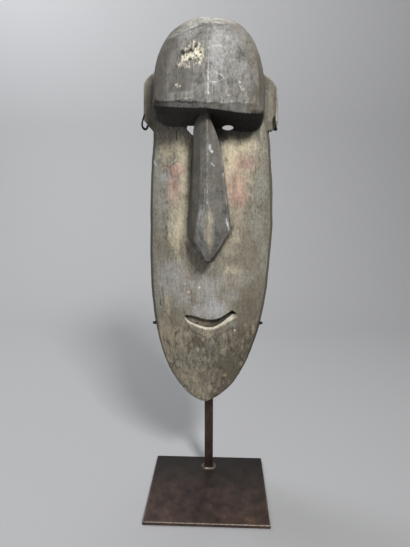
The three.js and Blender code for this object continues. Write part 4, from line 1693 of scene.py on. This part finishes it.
@dataclass
class Rod:
    """A round bar bent along a smooth line, welded at its start and rounded at its tip."""

    name: str
    node: str
    course: tuple[Triple, ...]
    radius: float = 1.8
    tip: float = 1.0
    steps: int = 110
    sides: int = 16
    weld_swell: float = 0.5
    taper: Pair = (26, 8)

    def line(self) -> np.ndarray:
        """Close points on a smooth line through the course.

        Between two points the line is the centripetal Catmull-Rom cubic: straight blends of four
        neighbouring points, blended again twice, with knots spaced by the square roots of the
        points' distances. At each end the course is lengthened by its mirror image.

        Returns:
            An (n, 3) array.
        """
        points = np.array(self.course, float)
        points = np.vstack([2 * points[0] - points[1], points, 2 * points[-1] - points[-2]])
        knots = np.concatenate([[0], np.cumsum(np.linalg.norm(np.diff(points, axis=0), axis=1) ** 0.5)])
        parts = []
        for i in range(1, len(points) - 2):
            at = np.linspace(knots[i], knots[i + 1], 40)[:, None]
            first = [
                blend(points[j], points[j + 1], (at - knots[j]) / (knots[j + 1] - knots[j]))
                for j in (i - 1, i, i + 1)
            ]
            second = [
                blend(first[j], first[j + 1], (at - knots[i - 1 + j]) / (knots[i + 1 + j] - knots[i - 1 + j]))
                for j in (0, 1)
            ]
            parts.append(blend(second[0], second[1], (at - knots[i]) / (knots[i + 1] - knots[i])))
        return np.concatenate([parts[0], *[part[1:] for part in parts[1:]]])

    def build(self, material: Material) -> Object:
        """Sweeps a round section along the line.

        The section keeps its turn from one place to the next. Its radius swells by a bell curve
        at the weld, thins smoothly to the tip's share before the end, and follows a quarter circle
        at the tip.

        Args:
            material: the blackened steel.

        Returns:
            The rod.
        """
        line = self.line()
        run = np.concatenate([[0], np.cumsum(np.linalg.norm(np.diff(line, axis=0), axis=1))])
        straight = run[-1] - self.radius
        tip = np.radians(np.linspace(15, 87, 6))
        end = straight + self.radius * np.sin(tip)
        at = np.concatenate([np.linspace(0, 4, 7), np.linspace(4.6, straight, self.steps), end])
        middle = np.stack([np.interp(at, run, line[:, i]) for i in range(3)], -1)
        radius = self.radius * (1 + self.weld_swell * np.exp(-((at / 1.8) ** 2)))
        radius *= blend(1, self.tip, smooth(at, straight - self.taper[0], straight - self.taper[1]))
        radius[-len(tip) :] = self.radius * self.tip * np.cos(tip)
        ahead = np.gradient(middle, axis=0)
        ahead /= np.linalg.norm(ahead, axis=1, keepdims=True)
        across = np.empty_like(ahead)
        before = np.array([0.0, 0.0, 1.0])
        for i, forward in enumerate(ahead):
            before = before - forward * (before @ forward)
            before /= np.linalg.norm(before)
            across[i] = before
        beside = np.cross(ahead, across)
        turn = 2 * np.pi * np.arange(self.sides) / self.sides
        ring = across[:, None] * np.cos(turn)[None, :, None] + beside[:, None] * np.sin(turn)[None, :, None]
        made = loft(middle[:, None] + ring * radius[:, None, None]).to_object(self.name)
        finish_piece(made, material, Slot.ROD, self.node)
        return made


@dataclass
class Stand:
    """The display stand: a plate, a post and four bent rods."""

    rod_y: float = 57
    hook_z: float = 617
    post_side: float = 16
    post_front_y: float = 51
    post_top_z: float = 632
    plate_half: Pair = (105, 87.5)
    plate_top: float = 6
    plate_corner: float = 1.6
    bead: float = 2.6
    bead_height: float = 3.2
    hook_reach: Pair = (86.8, 94.5)
    hook_radius: float = 1.75
    hook_tip: float = 0.7
    claw_reach: Pair = (90.9, 89.2)
    claw_z: Pair = (321.5, 323)
    gap: float = 0.3
    left_bend: tuple[Triple, ...] = (
        (-94.5, 10.5, 638), (-94.7, 4, 634.5), (-95.5, -2, 630.8), (-97.2, -7, 629.7), (-99.1, -11, 631.7),
        (-99.9, -12.5, 635.6), (-98.9, -12.7, 641), (-97.2, -12.1, 646.6), (-95.7, -11.3, 651.5),
    )
    right_bend: tuple[Triple, ...] = (
        (98, 16, 634), (101.4, 10.5, 631.4), (103.2, 5.5, 629.4), (103.5, -1, 629),
        (103.1, -6.5, 629), (102.2, -10.5, 629.8), (100.9, -12.3, 633.3), (100.1, -12.5, 638),
        (99.5, -12.1, 643), (98.9, -11.3, 647.5),
    )

    def arm(self, side: int, reach: float, z: float) -> tuple[Triple, ...]:
        """The start of a rod: out from the post's side behind the mask, then forward.

        Args:
            side: -1 for left, 1 for right.
            reach: how far out it goes.
            z: its height.

        Returns:
            Four points.
        """
        return (
            (side * (self.post_side / 2 + self.gap), self.rod_y, z),
            (side * (reach - 16), self.rod_y, z),
            (side * (reach - 4), self.rod_y - 2.5, z),
            (side * reach, self.rod_y - 12, z),
        )

    def hook(self, name: str, side: int, reach: float, bend: tuple[Triple, ...]) -> Rod:
        """A hook that passes behind an ear, bends under its corner and turns up in front of it."""
        course = (*self.arm(side, reach, self.hook_z), (side * reach, 26, self.hook_z + 13), *bend)
        return Rod(f"{name}_hook_rod", f"{name}_ear_hook", course, self.hook_radius, self.hook_tip)

    def claw(self, name: str, side: int, reach: float, z: float) -> Rod:
        """A claw that rises along the face's side and folds over its edge beside the mouth.

        Args:
            name: which side, in words.
            side: -1 for left, 1 for right.
            reach: how far out it goes.
            z: its height at the edge.

        Returns:
            The rod.
        """
        climb = [
            (side * (reach - 3.3 + 1.1 * i), y, z + rise)
            for i, (y, rise) in enumerate(((44, -15), (20, -8), (2, -2.5), (-6, -0.5)))
        ]
        ends = ((side * (reach - 1.8), -10.8, z), (side * (reach - 5), -12.6, z))
        start = self.arm(side, reach - 3, z - 18)[:3]
        return Rod(f"{name}_claw_rod", f"{name}_side_claw", (*start, *climb, *ends))

    def plate(self, material: Material) -> Object:
        """A plate with rounded corners and edges, bright where its edges are rubbed and in a painted
        highlight along the top.

        Each outline is a rectangle whose corners are quarter circles. The outlines step in over
        the lower and the upper edge, and the wear fades within 2 mm of the upper one.

        Args:
            material: the steel.

        Returns:
            The plate.
        """
        turn = np.radians(np.linspace(0, 90, 6))
        rings, worn = [], []
        for height, inset, wear in (
            (0, 0.9, 0.1), (0.3, 0.25, 0.4), (0.9, 0, 0.1), (5.0, 0, 0.05), (5.4, 0.1, 0.7),
            (5.8, 0.4, 1.0), (6.0, 0.9, 0.9), (6.0, 1.8, 0.1), (6.0, 5, 0), (6.0, 50, 0),
        ):
            radius = max(self.plate_corner - inset, 0.3)
            outline = []
            for quarter, (sign_x, sign_y) in enumerate(((1, 1), (-1, 1), (-1, -1), (1, -1))):
                middle = np.array([sign_x, sign_y]) * (np.array(self.plate_half) - inset - radius)
                angle = turn + quarter * np.pi / 2
                outline.append(middle + radius * np.stack([np.cos(angle), np.sin(angle)], -1))
            outline = np.concatenate(outline)
            rings.append(np.column_stack([outline, np.full(len(outline), height)]))
            worn.append(np.full(len(outline), wear))
        made = loft(np.array(rings)).to_object("rolled_plate")
        store(made.data, "worn", np.concatenate([*worn, [0, 0]]))
        finish_piece(made, material, Slot.STEEL, "base_plate")
        return made

    def build(self, steel: Material, plate_steel: Material, rod: Material) -> None:
        """Makes the plate, the post and the four rods.

        Args:
            steel: the post's material.
            plate_steel: the plate's.
            rod: the rods'.
        """
        self.plate(plate_steel)
        self.post(steel)
        for bar in (
            self.hook("left", -1, self.hook_reach[0], self.left_bend),
            self.hook("right", 1, self.hook_reach[1], self.right_bend),
            self.claw("left", -1, self.claw_reach[0], self.claw_z[0]),
            self.claw("right", 1, self.claw_reach[1], self.claw_z[1]),
        ):
            bar.build(rod)

    def post(self, material: Material) -> Object:
        """A square bar with rounded corners and a weld bead round its foot.

        The section is a superellipse of power 12 carried up the bar; near the foot it swells
        by the power 1.5 of the share of the way down the bead, rippled by sines of the way round.

        Args:
            material: the steel.

        Returns:
            The post.
        """
        half = self.post_side / 2
        turn = np.linspace(0, 2 * np.pi, 96, endpoint=False)
        section = np.stack([signed_power(np.cos(turn), 1 / 6), signed_power(np.sin(turn), 1 / 6)], -1) * half
        rise = np.array([0.3, 0.8, 1.3, 1.8, 2.3, 2.8, 3.2, 4, 60, 200, 400, 600])
        z = np.concatenate([self.plate_top + rise, [self.post_top_z - 0.6, self.post_top_z]])
        bead = self.bead * np.clip(1 - (z - self.plate_top) / self.bead_height, 0, 1) ** 1.5
        ripple = 1 + 0.2 * np.sin(21 * turn) + 0.12 * np.sin(8 * turn + 1)
        scale = 1 + bead[:, None] * ripple[None] / half
        scale[-1] *= 0.93
        y = self.post_front_y + half
        ring = section[None] * scale[..., None]
        rings = np.dstack([ring[..., 0], ring[..., 1] + y, np.broadcast_to(z[:, None], ring.shape[:2])])
        made = loft(rings).to_object("square_post")
        store(made.data, "worn", np.concatenate([np.repeat(0.5 * np.clip(bead, 0, 1), len(turn)), [0, 0]]))
        finish_piece(made, material, Slot.STEEL, "post")
        return made


@dataclass
class Studio:
    """The camera, the paper ground and the lights."""

    sensor: float = 36
    lens: float = sensor * 418 / 547
    place: Triple = (21.6, -673.1, 539.5)
    pitch: float = 11.38
    heading: float = 2.27
    paper_reach: float = 4000
    paper_bend: float = 900
    air: str = "#d9dade"
    air_strength: float = 0.27

    def camera(self) -> None:
        """The camera at the picture's own place: its forward is tipped down by the pitch and
        turned left by the heading, without roll."""
        data = bpy.data.cameras.new("camera")
        data.lens = self.lens
        data.sensor_width = self.sensor
        data.clip_start = 0.02
        data.clip_end = 50
        made = place_object("camera", data)
        made.rotation_mode = "XYZ"
        made.location = Vector(self.place) * MM
        made.rotation_euler = (math.radians(90 - self.pitch), 0, math.radians(self.heading))
        bpy.context.scene.camera = made

    def ground(self, material: Material) -> None:
        """A sheet of paper that lies flat and curves up far behind, a quarter circle in section.

        Args:
            material: the paper.
        """
        turn = np.linspace(0, math.pi / 2, 24)
        bend, reach = self.paper_bend, self.paper_reach
        y = np.concatenate([[-reach, bend], bend + bend * np.sin(turn[1:]), [bend + bend]])
        z = np.concatenate([[0, 0], bend * (1 - np.cos(turn[1:])), [reach]])
        x = np.array([-reach, reach], float)
        points = np.stack([np.tile(x, len(y)), np.repeat(y, 2), np.repeat(z, 2)], -1)
        index = np.arange(len(y) * 2).reshape(-1, 2)
        faces = np.stack([index[:-1, 0], index[:-1, 1], index[1:, 1], index[1:, 0]], -1).tolist()
        made = Shell(points, faces).to_object("studio_floor")
        made.data.materials.append(material)
        made.data.shade_smooth()

    def lamp(
        self,
        name: str,
        place: Triple,
        size: float,
        power: float,
        colour: str,
        aim: Triple = (0, 0, 0.45),
    ) -> None:
        """A square soft light.

        Args:
            name: the light's name.
            place: where it stands, in metres.
            size: its side, in metres.
            power: its power in watts.
            colour: its colour in sRGB hex.
            aim: the point it faces, in metres.
        """
        data = bpy.data.lights.new(name, "AREA")
        data.size = size
        data.energy = power
        data.color = linear(colour)[:3]
        made = place_object(name, data)
        made.location = place
        made.rotation_mode = "QUATERNION"
        made.rotation_quaternion = (Vector(aim) - Vector(place)).to_track_quat("-Z", "Y")

    def light(self) -> None:
        """A soft key from the upper right in front, a weak fill from the left, a light from above,
        one on the ground's far curve, and grey air."""
        self.lamp("key", (0.68, -1.62, 1.98), 0.55, 90, "#ffffff", (-0.92, -0.22, 1.98))
        self.lamp("fill", (-1.2, -2.0, 1.3), 1.4, 7, "#f2f6ff")
        self.lamp("top", (0.0, 0.6, 2.4), 1.2, 12, "#ffffff")
        self.lamp("far", (-1.3, 0.8, 2.1), 0.8, 22, "#f6f8ff", (-0.35, 1.4, 0.3))
        world = bpy.data.worlds.new("air")
        world.use_nodes = True
        sky = world.node_tree.nodes["Background"].inputs
        sky["Color"].default_value = linear(self.air)
        sky["Strength"].default_value = self.air_strength
        bpy.context.scene.world = world
        bpy.context.scene.view_settings.view_transform = "Standard"


def clear_scene() -> None:
    """Removes what a new file starts with."""
    for made in list(bpy.data.objects):
        bpy.data.objects.remove(made)


def main() -> None:
    """Builds the mask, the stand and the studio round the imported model."""
    logging.basicConfig(level=logging.INFO, format="%(name)s: %(message)s")
    clear_scene()
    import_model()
    studio = Studio()
    studio.camera()
    wood = WeatheredWood().make()
    stand = Stand()
    steel = PatinatedSteel().make()
    foot = (0, stand.post_front_y + stand.post_side / 2, stand.plate_top)
    plate_steel = PatinatedSteel("plate_steel").make(foot)
    rod = PatinatedSteel("blackened_rod", "#1a1918", "#2b2724", 0.6, 0.5).make()
    Mask().build(wood)
    stand.build(steel, plate_steel, rod)
    studio.ground(StudioPaper().make())
    studio.light()


if __name__ == "__main__":
    main()
